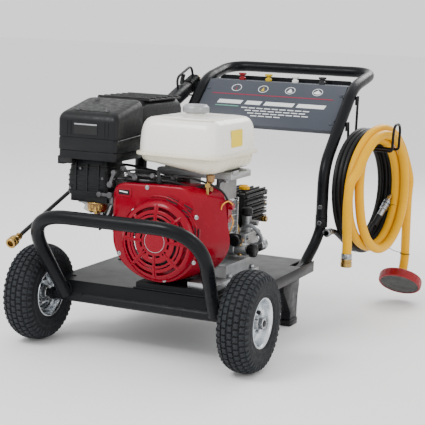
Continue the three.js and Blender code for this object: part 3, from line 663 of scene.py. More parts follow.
def add_wheel(name, side):
    wheel_x = side * TRACK_HALF
    half = [(63.5, 35.5), (67, 37.4), (73, 39), (80, 40.3), (88, 41.2), (96, 41.6), (104, 41.2), (110, 39.8),
            (115, 37.6), *((crown(x) - TREAD_DEPTH, x) for x in (34, 30, 25, 20, 14, 8))]
    profile = [*mirrored(half, [(crown(0) - TREAD_DEPTH, 0)]), (62.5, -30), (62.5, 30)]
    tyre = Shape().lathe("x", [(r, wheel_x + s) for r, s in profile], HUB, 112, wrap=True)
    for r, low, high in ((74, 38.8, 40), (90, 41, 41.95), (93, 41, 41.95)):
        for s in (1, -1):
            a, b = sorted((wheel_x + s * low, wheel_x + s * high))
            tyre.lathe("x", [(r - 0.9, a), (r - 0.5, b), (r + 0.5, b), (r + 0.9, a)], HUB, 96, wrap=True)
    pitch = 2 * pi / TREAD_COUNT
    for i in range(TREAD_COUNT):
        for x0, width, offset in TREAD_ROWS:
            tread_block(tyre, wheel_x, x0 * side, width, (i + offset) * pitch, pitch * 0.41)
        w = 4.6 if i % 2 else 3.2
        edges = ((-1.6, -1.5, -w), (1.5, 0.3, -w * 0.8), (1.5, 0.3, w * 0.8), (-1.6, -1.5, w))
        for s in (1, -1):
            t = (i + 0.25 * (s + 1)) * pitch
            tyre.skin([[on_axis("x", wheel_x + s * (x + dx), r + dr, t + da / r, HUB) for dx, dr, da in edges]
                       for r, x in ((105, 40.6), (112, 39.4), (118, 36.6))])
    tyre.build(f"{name}_tyre_tread", "tyre_rubber", f"{name}_wheel", f"{name}_tyre", angle=32)


def add_rim(name, side):
    wheel_x, body = side * TRACK_HALF, f"{name}_wheel"
    outer = [(62.6, -30), (64.6, -33), (65.2, -35.6), (63.6, -37), (60.6, -36.2), (58.6, -33), (56.6, -27),
             (55.4, -20), (53.2, -13), (50.6, -9.5), (46, -8.2), (42, -9.6), (37, -12), (32, -12.6), (27, -11),
             (22, -8)]
    profile = [*mirrored(outer), (62.6, 10), (62.6, -10)]
    rim = Shape().lathe("x", [(r, wheel_x + s) for r, s in profile], HUB, 96, wrap=True)
    rim.build(f"{name}_rim_pressing", "rim_zinc", body, f"{name}_rim", angle=50)
    profile = [*mirrored([(17, -29.5), (18.2, -28), (18.2, -9), (22, -8)]), (12.5, 30), (10.4, 30), (10.4, -30),
               (12.5, -30)]
    hub = Shape().lathe("x", [(r, wheel_x + s) for r, s in profile], HUB, wrap=True)
    hub.build(f"{name}_hub", "bare_steel", body, angle=40)
    studs = Shape()
    for t in angles(5):
        at = (36 * cos(t + 0.35), WHEEL_R + 36 * sin(t + 0.35))
        for s in (1, -1):
            studs.hex_head("x", 10, wheel_x + s * 11.5, wheel_x + s * 18, at)
    studs.build(f"{name}_rim_bolts", "bare_steel", body)
    t = radians(128)
    foot = Vector(on_axis("x", wheel_x + side * 12, 50, t, HUB))
    reach = Vector((side * 26, -9 * cos(t), -9 * sin(t)))
    valve = Shape().tube([foot + reach * k for k in (0, 0.3, 0.34, 0.7, 0.74, 1.0, 1.04)],
                         lambda s: (6.4, 6.0, 4.4, 4.2, 5.0, 5.0, 3.6)[round(s * 6)], 18)
    valve.build(f"{name}_valve", "black_rubber", body)
    washer, inner, outer = (side * (TRACK_HALF + reach) for reach in (30.4, 32, 40))
    a, b = sorted((inner, outer))
    nut = Shape().washer("x", 10, 17, *sorted((washer, inner)), HUB)
    nut.lathe("x", [(9.8, a), (14.6, a), (15.6, a + 1), (15.6, b - 1), (14.6, b), (9.8, b)], HUB, 6, wrap=True)
    nut.build(f"{name}_lock_nut", "bare_steel", replaces=f"{name}_axle_nut")


# ---- panel and nozzles --------------------------------------------------------------------
PANEL_HALF, SHELF_BACK = 236, 978
PANEL_FOOT, PANEL_TOP = Vector((0, 764.2, 545.8)), Vector((0, 904, 676.5))
PANEL_UP = (PANEL_TOP - PANEL_FOOT).normalized()
PANEL_OUT = Vector((0, -PANEL_UP.z, PANEL_UP.y))
# The four spray tips: colour, the finish of the printed fan below, and the fan's half angle.
TIPS = (("red", "nozzle_red_pvc", 0.12), ("yellow", "nozzle_yellow_pvc", 0.3), ("white", "white_print", 0.55),
        ("black", "white_print", 0.8))


def tip_x(k):
    return (k - 1.5) * NOZZLE_PITCH


def on_panel(x, up, out=0.0):
    return Vector((x, 0, 0)) + PANEL_FOOT + PANEL_UP * up + PANEL_OUT * out


def print_patch(shape, outline):
    """A printed patch, standing just clear of the panel."""
    return shape.skin([[on_panel(x, up, out) for x, up in outline] for out in (-0.2, 0.35)])


def add_panel():
    keep("panel", "panel_paint", 0.9)
    edge = Shape()
    for s in (1, -1):
        wall = [on_panel(s * PANEL_HALF, up, out) for up, out in ((0, -12), (0, 0), (190, 0), (190, -12))]
        edge.skin([wall, [p - Vector((s * 2.5, 0, 0)) for p in wall]])
    edge.box(-PANEL_HALF, PANEL_HALF, SHELF_BACK - 2.5, SHELF_BACK, SHELF_Z - 16, SHELF_Z)
    lower = [on_panel(s * PANEL_HALF, 0.5, out) for s, out in ((-1, 0), (1, 0), (1, -14), (-1, -14))]
    edge.skin([lower, [p + PANEL_UP * 2.5 for p in lower]])
    edge.build("panel_flanges", "panel_paint", bevel=0.7)
    back, front, low, high = SHELF_BACK, SHELF_BACK - 3, SHELF_Z + 3, SHELF_Z + 13
    # The lip takes the dark frame paint: painted shade, darkening the strip over the shelf.
    lip = Shape().skin([[(x, front, SHELF_Z), (x, back, SHELF_Z), (x, back, top), (x, front, top)]
                        for x, top in ((-232, low), (-220, high), (220, high), (232, low))])
    lip.build("shelf_lip", "frame_paint", bevel=0.8)


def add_panel_print():
    """Blank icons and plain bars, where the maker's lettering would be."""
    icons, up, turns = Shape(), 158, angles(36, closed=True)
    for k, (_, finish, spray) in enumerate(TIPS):
        x = tip_x(k) + 8
        for t0, t1 in zip(turns, turns[1:]):
            print_patch(icons, [(x + r * cos(t), up + r * 0.9 * sin(t))
                                for r, t in ((17, t0), (17, t1), (15, t1), (15, t0))])
        fan = [(x + 18 * sin(spray * j / 3), up + 9 - 18 * cos(spray * j / 3)) for j in range(-3, 4)]
        print_patch(Shape(), [(x, up + 9), *fan]).build(f"spray_icon_{2 * k + 1}", finish)
    icons.build("icon_rings", "white_print")
    print_patch(Shape(), [(-206, 128), (205, 128), (205, 131.5), (-206, 131.5)]).build("panel_line", "red_print")
    bars = Shape()
    for x, wide, tall in ((-176, 82, 16), (-80, 52, 16), (-16, 98, 16), (94, 92, 16)):
        print_patch(bars, [(x, 88), (x + wide, 88), (x + wide + 5, 88 + tall), (x + 5, 88 + tall)])
    for row, (start, end) in enumerate(((-86, 158), (-70, 140), (-58, 150), (-44, 62))):
        low = 72 - row * 11
        for x in range(start, end - 25, 26):
            print_patch(bars, [(x, low), (x + 21, low), (x + 21, low + 3.5), (x, low + 3.5)])
    bars.build("panel_bars", "white_print")
    print_patch(Shape(), [(-178, 76), (-98, 76), (-98, 80), (-178, 80)]).build("panel_underline", "green_print")


def add_panel_fixings():
    screws, tabs = Shape(), Shape()
    for s in (1, -1):
        for up in (30, 150):
            head = Shape().lathe("z", [(6.5, 0), (6.5, 1.2), (4.5, 3), (0.2, 3.4)], sides=24)
            screws.join(head.aim(on_panel(s * 226, up), PANEL_OUT))
        for y in (800, 872):
            z = 577 + (y - 800) * 0.945
            tabs.box(*sorted((s * 234, s * 244)), y - 12, y + 12, z - 4, z - 1)
    screws.build("panel_rivets", "panel_paint")
    tabs.build("panel_tabs", "frame_paint", bevel=0.8)


def add_nozzles():
    grommets = Shape()
    # Radius and height over the shelf, from the hidden tip up to the grip's dished top.
    profile = [(3.8, -22), (6.4, -20), (6.4, -12), (5.4, -11), (5.4, -8), (6.4, -7), (6.4, 0.4), (10.3, 0.6),
               (10.4, 7), (9.4, 8.2), (6.2, 10), (6.0, 14), (8, 15.4), (11.8, 16.6), (12.4, 18), (12.4, 21.6),
               (11.4, 22.8), (4.5, 22.9), (3.6, 18)]
    for k, (colour, *_) in enumerate(TIPS):
        at = (tip_x(k), NOZZLE_Y)
        tip = Shape().lathe("z", [(r, SHELF_Z + z) for r, z in profile], at, 44)
        tip.around(lambda: Shape().box(11.6, 12.5, -1.0, 1.0, SHELF_Z + 17.4, SHELF_Z + 22.2), 14, Z, (*at, 0))
        tip.build(f"tip_{colour}", f"nozzle_{colour}_pvc", f"nozzle_{colour}", f"nozzle_{colour}")
        grommets.washer("z", 9.2, 12, SHELF_Z - 3.2, SHELF_Z - 2.7, at)
    grommets.build("nozzle_grommets", "black_rubber")


# ---- hook, cradle and gun ---------------------------------------------------------------
def add_hook():
    wire = [(277, 884, 650), (281, 868, 499), (428, 838, 499), (430, 838, 578), (430, 768, 578), (428, 768, 499),
            (281, 798, 499), (277, 800, 575)]
    Shape().tube(bent_path(wire, (12, 10, 32, 32, 10, 12), 8), 4, 18).build(
        "hook_wire", "frame_paint", replaces="hose_hook")
    feet = Shape()
    for x, y, z in ((274, 884, 648), (274, 800, 573)):
        feet.bead([(x, y, z), (x + 1, y - 2, z - 26)], 5.6, 0.5, 40, 12)
    feet.build("hook_welds", "frame_paint")


def gun_shape(shape):
    """Moves a shape drawn along the gun, from its coupling backwards, to its place on the cart."""
    return shape.turn(X, LANCE_TILT).shift((LANCE_X, 700, 591))


def add_gun():
    # Place along the gun, half width and half height.
    sections = [(0, 11, 11), (6, 14, 15), (16, 17, 19), (40, 19.6, 23.4), (80, 19.8, 24.4), (120, 19.8, 24.6),
                (150, 18, 21), (172, 17, 19), (200, 18.4, 21.5), (222, 18.8, 22.6), (231, 16, 19),
                (236, 12.5, 14.5)]
    body = Shape().skin([level(round_rect(-rx, rx, -rz, rz, min(rx, rz) * 0.8), "y", y) for y, rx, rz in sections])
    for i in range(9):
        y = 168 + i * 6.5
        body.slab("y", round_rect(-19.5, 19.5, -22.8, 22.8, 14), y, y + 2.6)
    body.tube(bent_path([(0, 98, 16), (0, 98, 58), (0, 212, 58), (0, 212, 16)], (24, 24), 8), 4.0)
    for y in range(66, 103, 9):
        body.box(-20.2, 20.2, y, y + 3.5, -12, 12)
    gun_shape(body).build("gun_shell", "black_plastic", "spray_gun", "gun_body", angle=42)
    metal = Shape().lathe("y", [(8.8, 231), (8.8, 249.6), (6.5, 249.8)], sides=28)
    metal.lathe("y", [(9.9, -11), (11.6, -10), (11.6, 1), (10, 2)], sides=6)
    gun_shape(metal).build("gun_inlet", "brass", "spray_gun")
    screws = Shape()
    for at in ((28, 6), (28, -9), (122, 10), (122, -12), (206, 0)):
        for s in (1, -1):
            a, b = sorted((s * 17.5, s * 20.4))
            screws.lathe("x", [(0.3, a), (4, a), (4, b), (0.3, b)], at, 18)
    gun_shape(screws).build("gun_screws", "dull_steel", "spray_gun")
    blade = [(122, 28), (134, 28), (140, 37), (152, 51), (145, 52), (132, 41)]
    trigger = Shape().slab("x", blade, -6, 6)
    gun_shape(trigger).build("trigger_blade", "black_plastic", "gun_trigger", "gun_trigger", bevel=1.4, segments=3)


def add_lance():
    lance = Shape().lathe("y", [(5.2, -904), (5.4, -903), (5.4, -1)], sides=32)
    lance.lathe("y", [(7, -62), (8.6, -60), (8.6, -6), (8, -4)], sides=32)
    gun_shape(lance).build("lance_pipe", "black_steel", "spray_gun", "lance_tube")
    grip = Shape().lathe("y", [(7, -330), (12.4, -328), (13.4, -322), (13.4, -196), (12.4, -190), (7, -188)],
                         sides=36)
    for i in range(16):
        y = -316 + i * 7.4
        grip.lathe("y", [(13.2, y), (14.2, y + 1.4), (14.2, y + 3.6), (13.2, y + 5)], sides=36)
    gun_shape(grip).build("lance_grip", "black_plastic", "spray_gun")
    end = Shape().lathe("y", [(5.5, -879), (9.4, -877.4), (9.4, -868), (8, -866), (5.5, -866)], sides=6)
    end.lathe("y", [(6, -903.5), (7.4, -903.5), (7.4, -880), (6, -880)], sides=32)
    gun_shape(end).build("lance_tip_nut", "brass", "spray_gun")
    sleeve = [(8.2, -913.4), (13.2, -913.4), (13.9, -912.4), (13.9, -906), (12.9, -905), (12.9, -903),
              (13.9, -902), (13.9, -893), (11.4, -886.5), (8.2, -886.2)]
    collar = Shape().lathe("y", sleeve, sides=44, wrap=True)
    gun_shape(collar).build("coupler_collar", "brass", "lance_coupler", "lance_coupler")
    keep("gun_holder", "frame_paint", 1.0)


# ---- engine -----------------------------------------------------------------------------
SAMPLES = 144


def shroud_ring(grow, inset, y):
    """The cooling shroud's outline at y, drawn round the crankshaft and softened at its corners."""
    right, left, belly = 113 + grow, 137, 111
    top = [(right, 0), (92 + grow, 122), (62 + grow * 0.6, 142), (0, 142), (-122, 138), (-137, 120), (-left, 0)]
    radii = []
    for t in angles(SAMPLES):
        c, s = cos(t), sin(t)
        if s <= 0:
            radii.append(1 / hypot(c / (right if c > 0 else left), s / belly))
            continue
        # Where the ray from the shaft meets the outline over it.
        for (x0, z0), (x1, z1) in zip(top, top[1:]):
            bottom = c * (z1 - z0) - s * (x1 - x0)
            if abs(bottom) < 1e-9:
                continue
            along = (s * x0 - c * z0) / bottom
            reach = (x0 * (z1 - z0) - z0 * (x1 - x0)) / bottom
            if -1e-6 <= along <= 1 + 1e-6 and reach > 0:
                radii.append(reach)
                break
        else:
            radii.append(radii[-1])
    for _ in range(2):
        radii = [(radii[i - 1] + radii[i] * 2 + radii[(i + 1) % SAMPLES]) / 4 for i in range(SAMPLES)]
    return [on_axis("y", y, r - inset, t, SHAFT) for r, t in zip(radii, angles(SAMPLES))]


def crank_circle(r, y):
    return [on_axis("y", y, r, t, SHAFT) for t in angles(SAMPLES)]


def add_fan_cover():
    # How far the outline grows, how far it is drawn in, and y: round the front edge, back along the side, inside.
    rows = [(0, 14, -4.9), (0, 6, -4.4), (0, 2.4, -2.4), (0, 0.6, 1), (2, 0, 6), (18, 0, 28), (31, 0, 60),
            (44, 0, 90), (44, 1.2, 92), (44, 3, 91), (18, 3, 28), (0, 5, 5)]
    shell = Shape().skin([crank_circle(73, -4.6), crank_circle(100, -4.9), *(shroud_ring(*row) for row in rows),
                          crank_circle(100, -1.6), crank_circle(73, -1.6)], wrap=True)
    shell.build("fan_shroud", "red_paint", replaces="fan_cover", angle=30)
    ridges = Shape()
    for r, a, b, width in ((114, 22, 104, 2.6), (107.5, 130, 158, 1.8)):
        ridges.tube([on_axis("y", -5.2, r, radians(a + (b - a) * k / 40), SHAFT) for k in range(41)], width, 12)
    ridges.build("shroud_ridges", "red_paint")


def add_louvres():
    hoods, gaps = Shape(), Shape()
    for cx, cz, wide, count, lean in ((84, 410, 34, 4, -0.30), (127, 394, 27, 4, -0.42)):
        half = wide / 2
        for k in range(count):
            rise = (k - (count - 1) / 2) * 7.4
            hood = Shape().slab("y", [(-half, 0), (-half + 1, 2.2), (half - 1, 2.2), (half, 0)], -8.2, -4.2)
            # A dark box fills each slot: painted shade in place of the open vent.
            gap = Shape().box(-half + 1.2, half - 1.2, -6.2, -4.4, -4.2, 0.1)
            for shape, into in ((hood, hoods), (gap, gaps)):
                into.join(shape.shift((0, 0, rise)).turn(Y, -lean).shift((cx, 0, cz)))
    # Four upright ones, the last two on the slope to the side.
    low = 322
    for k in range(4):
        x, top = 140 + k * 7.2, 358 - k * 3
        y = -5 + max(0, x - 152) * 0.55
        hoods.slab("y", [(x, low), (x + 2.2, low + 2), (x + 2.2, top - 2), (x, top)], y - 2.6, y + 1)
        gaps.box(x - 4.2, x + 0.1, y - 1.2, y + 0.8, low + 1, top - 1)
    hoods.build("louvre_hoods", "red_paint", bevel=0.5)
    gaps.build("louvre_gaps", "painted_shade")
    screws = Shape()
    for at in ((13, 441), (-25, 378), (154, 378), (69, 207), (-64, 262), (150, 262)):
        screws.lathe("y", [(6, -5.2), (6, -6), (4.2, -6.6), (4.2, -8.4), (3.2, -9.2), (0.2, -9.4)], at, 28)
    screws.build("shroud_screws", "bare_steel")


def add_switch():
    bezel = Shape().slab("y", round_rect(-75, -31, 411, 435, 4), -6.6, -4.6)
    bezel.build("switch_bezel", "red_paint", bevel=0.7)
    rocker = Shape().slab("y", round_rect(-69, -37, 416.5, 429.5, 2.5), -7, 4.5)
    rocker.build("rocker", "black_plastic", "engine_switch", "engine_switch", bevel=0.8)
    mark = Shape().slab("y", [(-66, 424), (-42, 421.5), (-42, 424.5), (-66, 427)], -7.3, -6.8)
    mark.build("rocker_mark", "white_print", "engine_switch")


# The recoil cover: a flat face, then a quarter of an ellipse back to the shroud.
RECOIL_FACE_Y, RECOIL_FLAT_R, RECOIL_ROUND, RECOIL_DEPTH = -29.6, 56, 48.8, 23.6
# Rings of slots: inner and outer radius, how many, and in degrees how wide and where the first one is.
RECOIL_SLOTS = ((37, 42, 12, 17, 15), (56, 63, 8, 36, 22.5), (69, 72, 8, 37, 22.5), (81, 89, 8, 38, 22.5))


def recoil_y(r):
    if r < RECOIL_FLAT_R:
        return RECOIL_FACE_Y + (1.2 if 31 <= r < 34 else 0)
    return RECOIL_FACE_Y + RECOIL_DEPTH * (1 - sqrt(max(0, 1 - ((r - RECOIL_FLAT_R) / RECOIL_ROUND) ** 2)))


def is_slot(r0, r1, angle):
    for low, high, count, wide, offset in RECOIL_SLOTS:
        if r0 >= low and r1 <= high:
            pitch = 360 / count
            return abs((angle - offset + pitch / 2) % pitch - pitch / 2) < wide / 2
    return False


def add_recoil():
    radii = [0.5, 10, 20, 29, 31, 34, 37, 42, 48, 51, 56, 60, *range(63, 82, 3), 85, 89, 93, 97, 100.5, 103, 104.6]
    sides = 180
    bell = Shape().add([on_axis("y", recoil_y(r), r, t, SHAFT) for r in radii for t in angles(sides)], [])
    for k in range(len(radii) - 1):
        for i in range(sides):
            if not is_slot(radii[k], radii[k + 1], (i + 0.5) * 360 / sides):
                j = (i + 1) % sides
                bell.faces.append([k * sides + i, k * sides + j, (k + 1) * sides + j, (k + 1) * sides + i])
    bell.faces.append(list(range(sides)))
    bell.build("recoil_bell", "red_paint", replaces="recoil_cover", thick=2.2, angle=50)
    ribs = Shape().lathe("y", [(31.2, -28.8), (31.2, -30), (33.8, -30), (33.8, -28.8)], SHAFT, 72, wrap=True)
    for t in angles(8):
        ribs.tube([on_axis("y", recoil_y(r) - 0.2, r, t, SHAFT) for r in (35, 45, 55, 66, 78, 88, 95)], 2.3, 10)
    ribs.build("recoil_ribs", "red_paint")
    ring = Shape().lathe("y", [(27.4, -29.4), (27.4, -30), (28.6, -30), (28.6, -29.4)], SHAFT, 64, wrap=True)
    ring.build("badge_ring", "plate")


def add_starter():
    reel = Shape().lathe("y", [(8.2, -20), (30, -20), (31, -18.5), (60, -18.5), (62, -17.5), (62, -16), (54, -13),
                               (54, -8), (62, -5), (62, -1.2), (8.2, -1.2)], SHAFT, 64, wrap=True)
    reel.around(lambda: Shape().box(32, 58, -20, -18.3, -2, 2), 6, Y, (CRANK_X, 0, CRANK_Z))
    reel.build("rope_reel", "black_plastic", "rope_pulley", "recoil_pulley")
    keep("flywheel", "cast_alloy", 0.8)
    keep("crankshaft", "bare_steel", 0.6)
    # The grip lies aslant: place along it, then its half depth and half height.
    half = [(8, 8.2, 6.2), (22, 8.8, 6.8), (28, 7.4, 5.6), (30, 5, 4)]
    sections = [*((-k, *size) for k, *size in half[::-1]), (0, 8.6, 6.8), *half]
    grip = Shape().skin([[(-98 + k * 0.6, -18 + ry * cos(t), 346 + k * 0.8 + rz * sin(t)) for t in angles(24)]
                         for k, ry, rz in sections])
    grip.build("pull_handle", "black_plastic", "pull_grip", "recoil_grip")
    guide = Shape().lathe("y", [(5, -13), (9, -13), (9.6, -9), (9, -5.4), (5, -5.4)], (-78, 346), 28, wrap=True)
    guide.build("rope_guide", "red_paint")


def tank_outline(inset, z, sag=0.0):
    """The tank's outline, drawn in by inset; its front left corner is higher by sag, over the carburettor."""
    corner = max(36 - inset * 0.45, 12)
    return [(x, y, z + sag * (1 if x < 40 else max(0, (70 - x) / 30)))
            for x, y in round_rect(-42 + inset, 196 - inset, 14 + inset, 300 - inset, corner, 9)]


def add_tank():
    # Each skin's rows: drawn in by, height, and how much higher the front left corner is.
    # The pan and the seam take the darker copy of the ivory paint: painted shade below the shell.
    for name, finish, node, angle, rows in (
            ("tank_shell", "tank_paint", "fuel_tank", 60,
             [(5.5, 527), (5, 534), (5.4, 550), (6.4, 568), (8, 582), (10, 593), (13.5, 603), (19, 611),
              (27, 616.4), (38, 618.6), (52, 619.2)]),
            ("tank_pan", "tank_paint_shaded", (), 60,
             [(32, 481, 19), (22, 484, 18), (15, 490, 15), (11, 500, 9), (9.4, 510, 4), (9, 520)]),
            ("tank_seam", "tank_paint_shaded", (), 25,
             [(4, 519.4), (-1.6, 520.4), (-2.6, 521.6), (-2.6, 526.4), (-1.8, 528.2), (4, 529.4)])):
        Shape().skin([tank_outline(*row) for row in rows]).build(name, finish, replaces=node, angle=angle)
    ledge = [(28, 44, 618.4), (60, 38, 618.6), (110, 36, 618.6), (158, 40, 618.2), (166, 54, 618.4)]
    Shape().tube(smooth_path(ledge, 6), 2.4, 10).build("tank_ledge", "tank_paint")
    neck = Shape().lathe("z", [(21, 616), (30, 616), (28.5, 619), (27, 620.5), (27, 625.5), (21, 625.8)],
                         FILLER, 56, wrap=True)
    neck.build("filler_neck", "tank_paint")
    cap = Shape().lathe("z", [(26, 626.5), (33.6, 627), (34.8, 629), (34.9, 640), (33.4, 643), (30.5, 644.5),
                              (28.6, 647.6), (12, 647.9), (10, 646.6), (0.2, 646.6)], FILLER, 72)
    cap.around(lambda: Shape().rod("z", 0.9, 629.5, 641, (34.2, 0), 8, 0.4), 28, Z, (*FILLER, 0))
    cap.build("filler_cap", "plate", "fuel_cap", "fuel_cap")
    label = Shape().skin([[(x - max(0, (z - 566) * 0.075), y, z) for y, z in round_rect(112, 184, 546, 590, 3, 3)]
                          for x in (190.9, 191.6)])
    label.build("tank_label", "yellow_print")


def add_tank_mount():
    straps = Shape()
    for y in (124, 226):
        straps.box(-18, 194, y - 12, y + 12, 476.5, 480.2)
    straps.build("tank_straps", "cast_alloy", bevel=1)
    keep("tank_bracket", "cast_alloy", 2.2)
    stay = Shape().skin([[(198, 118, 486), (198, 150, 486), (198, 150, 474), (198, 118, 474)],
                         [(160, 122, 468), (160, 146, 468), (160, 146, 452), (160, 122, 452)],
                         [(152, 126, 430), (152, 142, 430), (150, 142, 412), (150, 126, 412)]])
    stay.build("bracket_stay", "cast_alloy", bevel=1.5)
    bolts([(30, 120, 461.8), (176, 120, 461.8)], "z", -1, 13, 10, 5).build("bracket_bolts", "bare_steel")
    at = (160, 58)
    cock = Shape().rod("z", 11, 461, 480, at, 32, 1.5).rod("z", 6.5, 446, 461, at, 24)
    cock.hex_head("z", 15, 438, 447, at).rod("x", 4.4, 146, 158, (58, 452), 20).build("petcock", "copper")
    lever = Shape().rod("y", 7.4, 40, 47, (160, 454), 24).box(157, 163, 41, 45, 430, 452)
    lever.build("petcock_lever", "brass", bevel=0.7)


def add_air_cleaner():
    def outline(inset, z, slope):
        return [(x, y, z + slope * (y + 30))
                for x, y in round_rect(-242 + inset, -66 - inset, -30 + inset, 120 - inset * 0.3, 14, 7)]

    def lid_z(y):
        return 0.22 * (y + 30)
    # Drawn in by, height at the front, and slope towards the back.
    rows = [(1.2, 522.4, 0), (0, 524, 0), (0, 552, 0.06), (1.4, 553.5, 0.06), (1.4, 556, 0.06), (0, 557.5, 0.06),
            (0, 600, 0.2), (1.4, 606, 0.21), (4, 611, 0.22), (8, 615, 0.23), (14, 618, 0.23), (24, 620, 0.22),
            (34, 620.4, 0.22)]
    lid = Shape().skin([outline(*row) for row in rows])
    lid.build("air_box", "black_plastic", replaces="air_cleaner_cover", angle=40)
    keep("air_cleaner_base", "black_plastic", 1.6)
    ribs = Shape()
    for x in (-214, -204, -104, -94):
        ribs.box(x, x + 4, -31.2, -29, 562, 600)
    for y in range(-8, 95, 17):
        z = 619.2 + lid_z(y)
        ribs.box(-205, -100, y, y + 3, z - 2, z + 1.4)
    ribs.build("air_box_ribs", "black_plastic", bevel=0.6)
    plate = Shape().slab("y", round_rect(-191, -122, 566, 594, 3, 3), -31.4, -29.8)
    plate.build("air_box_plate", "black_steel", bevel=0.4)
    Shape().box(-190, -123, -32, -31.2, 590, 593.4).build("air_box_plate_edge", "plate", bevel=0.3)
    knobs = Shape()
    for x, y in ((-196, 2), (-112, 2), (-196, 96)):
        z = 619.5 + lid_z(y)
        profile = [(8, -2), (8, 1.6), (5.6, 2.6), (3.6, 3), (3.6, 5.4), (2.6, 6)]
        knobs.lathe("z", [(r, z + rise) for r, rise in profile], (x, y), 28)
        knobs.box(x - 7, x + 7, y - 1.2, y + 1.2, z + 2, z + 6)
    knobs.build("air_box_nuts", "dull_steel", bevel=0.5)
    snout = Shape().slab("y", round_rect(-238, -196, 487, 503, 5, 4), -29.6, 6)
    snout.build("air_intake", "black_plastic", bevel=1)
    # A dark plate over the intake's front: painted shade in place of its open mouth.
    mouth = Shape().slab("y", round_rect(-234, -200, 490, 500, 3, 3), -30, -29)
    mouth.build("air_intake_mouth", "painted_shade")


def add_carburettor():
    bowl_at = (-148, 24)
    keep("carburettor", "black_plastic", 2.2)
    keep("fuel_bowl", "brass", 1.2)
    ribs = Shape()
    for z in range(412, 478, 13):
        inset = max(0, (z - 452) * 0.17)
        outline = round_rect(-227.2 + inset, -102.8 - inset, -5.4 + inset * 0.5, 101 - inset * 0.4, 16, 5)
        ribs.slab("z", outline, z, z + 3.4)
    for x in (-200, -166, -132):
        ribs.box(x, x + 4, -6.6, -3, 414, 486)
    ribs.build("elbow_ribs", "black_plastic", bevel=0.6)
    screws = Shape()
    for at in ((-184, 474), (-214, 420), (-118, 452)):
        screws.lathe("y", [(3.6, -3), (3.6, -6.8), (2.8, -7.6), (0.2, -7.8)], at, 24)
    screws.build("elbow_screws", "dull_steel")
    body = Shape().box(-176, -118, 6, 60, 386.4, 404).rod("x", 19, -206, -98, (34, 396), 32)
    body.rod("z", 9, 344, 357, bowl_at, 6)
    body.build("carburettor_body", "cast_alloy", bevel=1.4)
    bowl = [(28, 384), (28, 381), (26.8, 380), (26.8, 367), (24, 361), (12, 357.4), (7, 357)]
    Shape().lathe("z", bowl, bowl_at).build("bowl_shell", "copper")
    drain = Shape().hex_head("z", 12, 349, 357, bowl_at)
    drain.lathe("y", [(4.6, -8), (4.6, -16), (3, -17)], (-130, 364), 20).build("bowl_drain", "brass")
    pipes = Shape()
    pipes.wire([(150, 58, 452), (120, 40, 446), (60, 20, 458), (0, 16, 452), (-50, 18, 448), (-100, 20, 402),
                (-122, 22, 386)], 4.2, 12)
    pipes.wire([(-96, 30, 430), (-84, 4, 452), (-60, -4, 474), (-20, 6, 482), (30, 30, 476)], 2.6)
    pipes.wire([(196, 112, 396), (186, 60, 444), (120, 30, 470), (40, 24, 470), (-30, 40, 478)], 2.8)
    pipes.build("fuel_lines", "black_rubber")


def add_linkage():
    """The governor's plate, spring, rod and arm, and the three levers."""
    plate = Shape().box(-70, 66, 22, 96, 455, 457.5).box(-70, 66, 21, 23.4, 446, 457.5)
    plate.slab("y", [(-66, 458), (-30, 478), (0, 478), (10, 458)], 30, 33)
    plate.build("control_plate", "black_steel", bevel=0.7)
    turns, steps = 22, 264
    spiral = [on_axis("x", -60 + 74 * i / steps, 4.2, 2 * pi * turns * i / steps, (15, 468))
              for i in range(steps + 1)]
    spring = Shape().tube([(-72, 15, 468), *spiral, (24, 15, 466)], 0.8, 6)
    spring.tube([(-106, 10, 447), (-80, 12, 455), (10, 15, 456)], 1.5, 8)
    spring.build("governor_spring", "dull_steel")
    arm = Shape().slab("y", [(36, 452), (46, 452), (38, 482), (30, 482)], 12, 14.4)
    arm.rod("y", 5, 6, 20, (40, 456), 20).build("governor_arm", "black_steel", bevel=0.5)
    for node in ("throttle_lever", "choke_lever", "fuel_lever"):
        keep(node, "dull_steel", 0.7)
    knobs = Shape()
    for at in ((-30.6, 462), (20, 470)):
        knobs.lathe("y", [(5.4, 4), (7, 6), (7, 12), (5.4, 14)], at, 24)
    knobs.build("control_screws", "dull_steel")
    seats = [(-54, 60, 457.5), (52, 60, 457.5), (-54, 88, 457.5)]
    bolts(seats, "z", 1, 10, 7, 4).build("plate_bolts", "dull_steel")


def add_block():
    keep("crankcase", "cast_alloy", 2.0)
    keep("cylinder", "cast_alloy", 1.0)
    ribs = Shape()
    for degrees in range(-60, 61, 15):
        t = radians(degrees)
        ribs.tube([on_axis("y", 286.5, 50, t, SHAFT), (CRANK_X + 88 * cos(t), 283, CRANK_Z + 82 * sin(t))], 2.6, 8)
    for z in (222, 236, 300, 316, 332, 348, 364, 380):
        ribs.box(145, 149, 110, 262, z, z + 3.4)
    for y in (106, 268):
        ribs.box(144, 151, y - 3, y + 3, 214, 396)
    ribs.build("crankcase_ribs", "cast_alloy", bevel=0.9)
    seats = [(148.5, y, z) for y, z in ((118, 386), (186, 392), (254, 384), (258, 300), (256, 228), (120, 214))]
    bolts(seats, "x", 1, 12, 8, 6).build("crankcase_bolts", "bare_steel")
    keep("oil_cap", "black_plastic", 0.8)
    oil_at, drain_at = (232, 262), (150, 226)
    filler = Shape().rod("x", 19, 140, 165, oil_at, 40, 2)
    filler.lathe("x", [(14.5, 197), (15.4, 198), (15.4, 199.6), (14.5, 200)], oil_at, 36)
    filler.build("filler_boss", "cast_alloy")
    grip = Shape().box(203, 224, 229.6, 234.4, 246, 278)
    grip.around(lambda: Shape().rod("x", 1.5, 207.5, 219, (17.4, 0), 8, 0.4), 12, X, (0, *oil_at))
    grip.build("filler_grip", "black_plastic", "oil_cap", bevel=0.8)
    drain = Shape().hex_head("x", 17, 146, 157, drain_at).rod("x", 11, 145, 147.5, drain_at)
    drain.build("drain_plug", "brass")


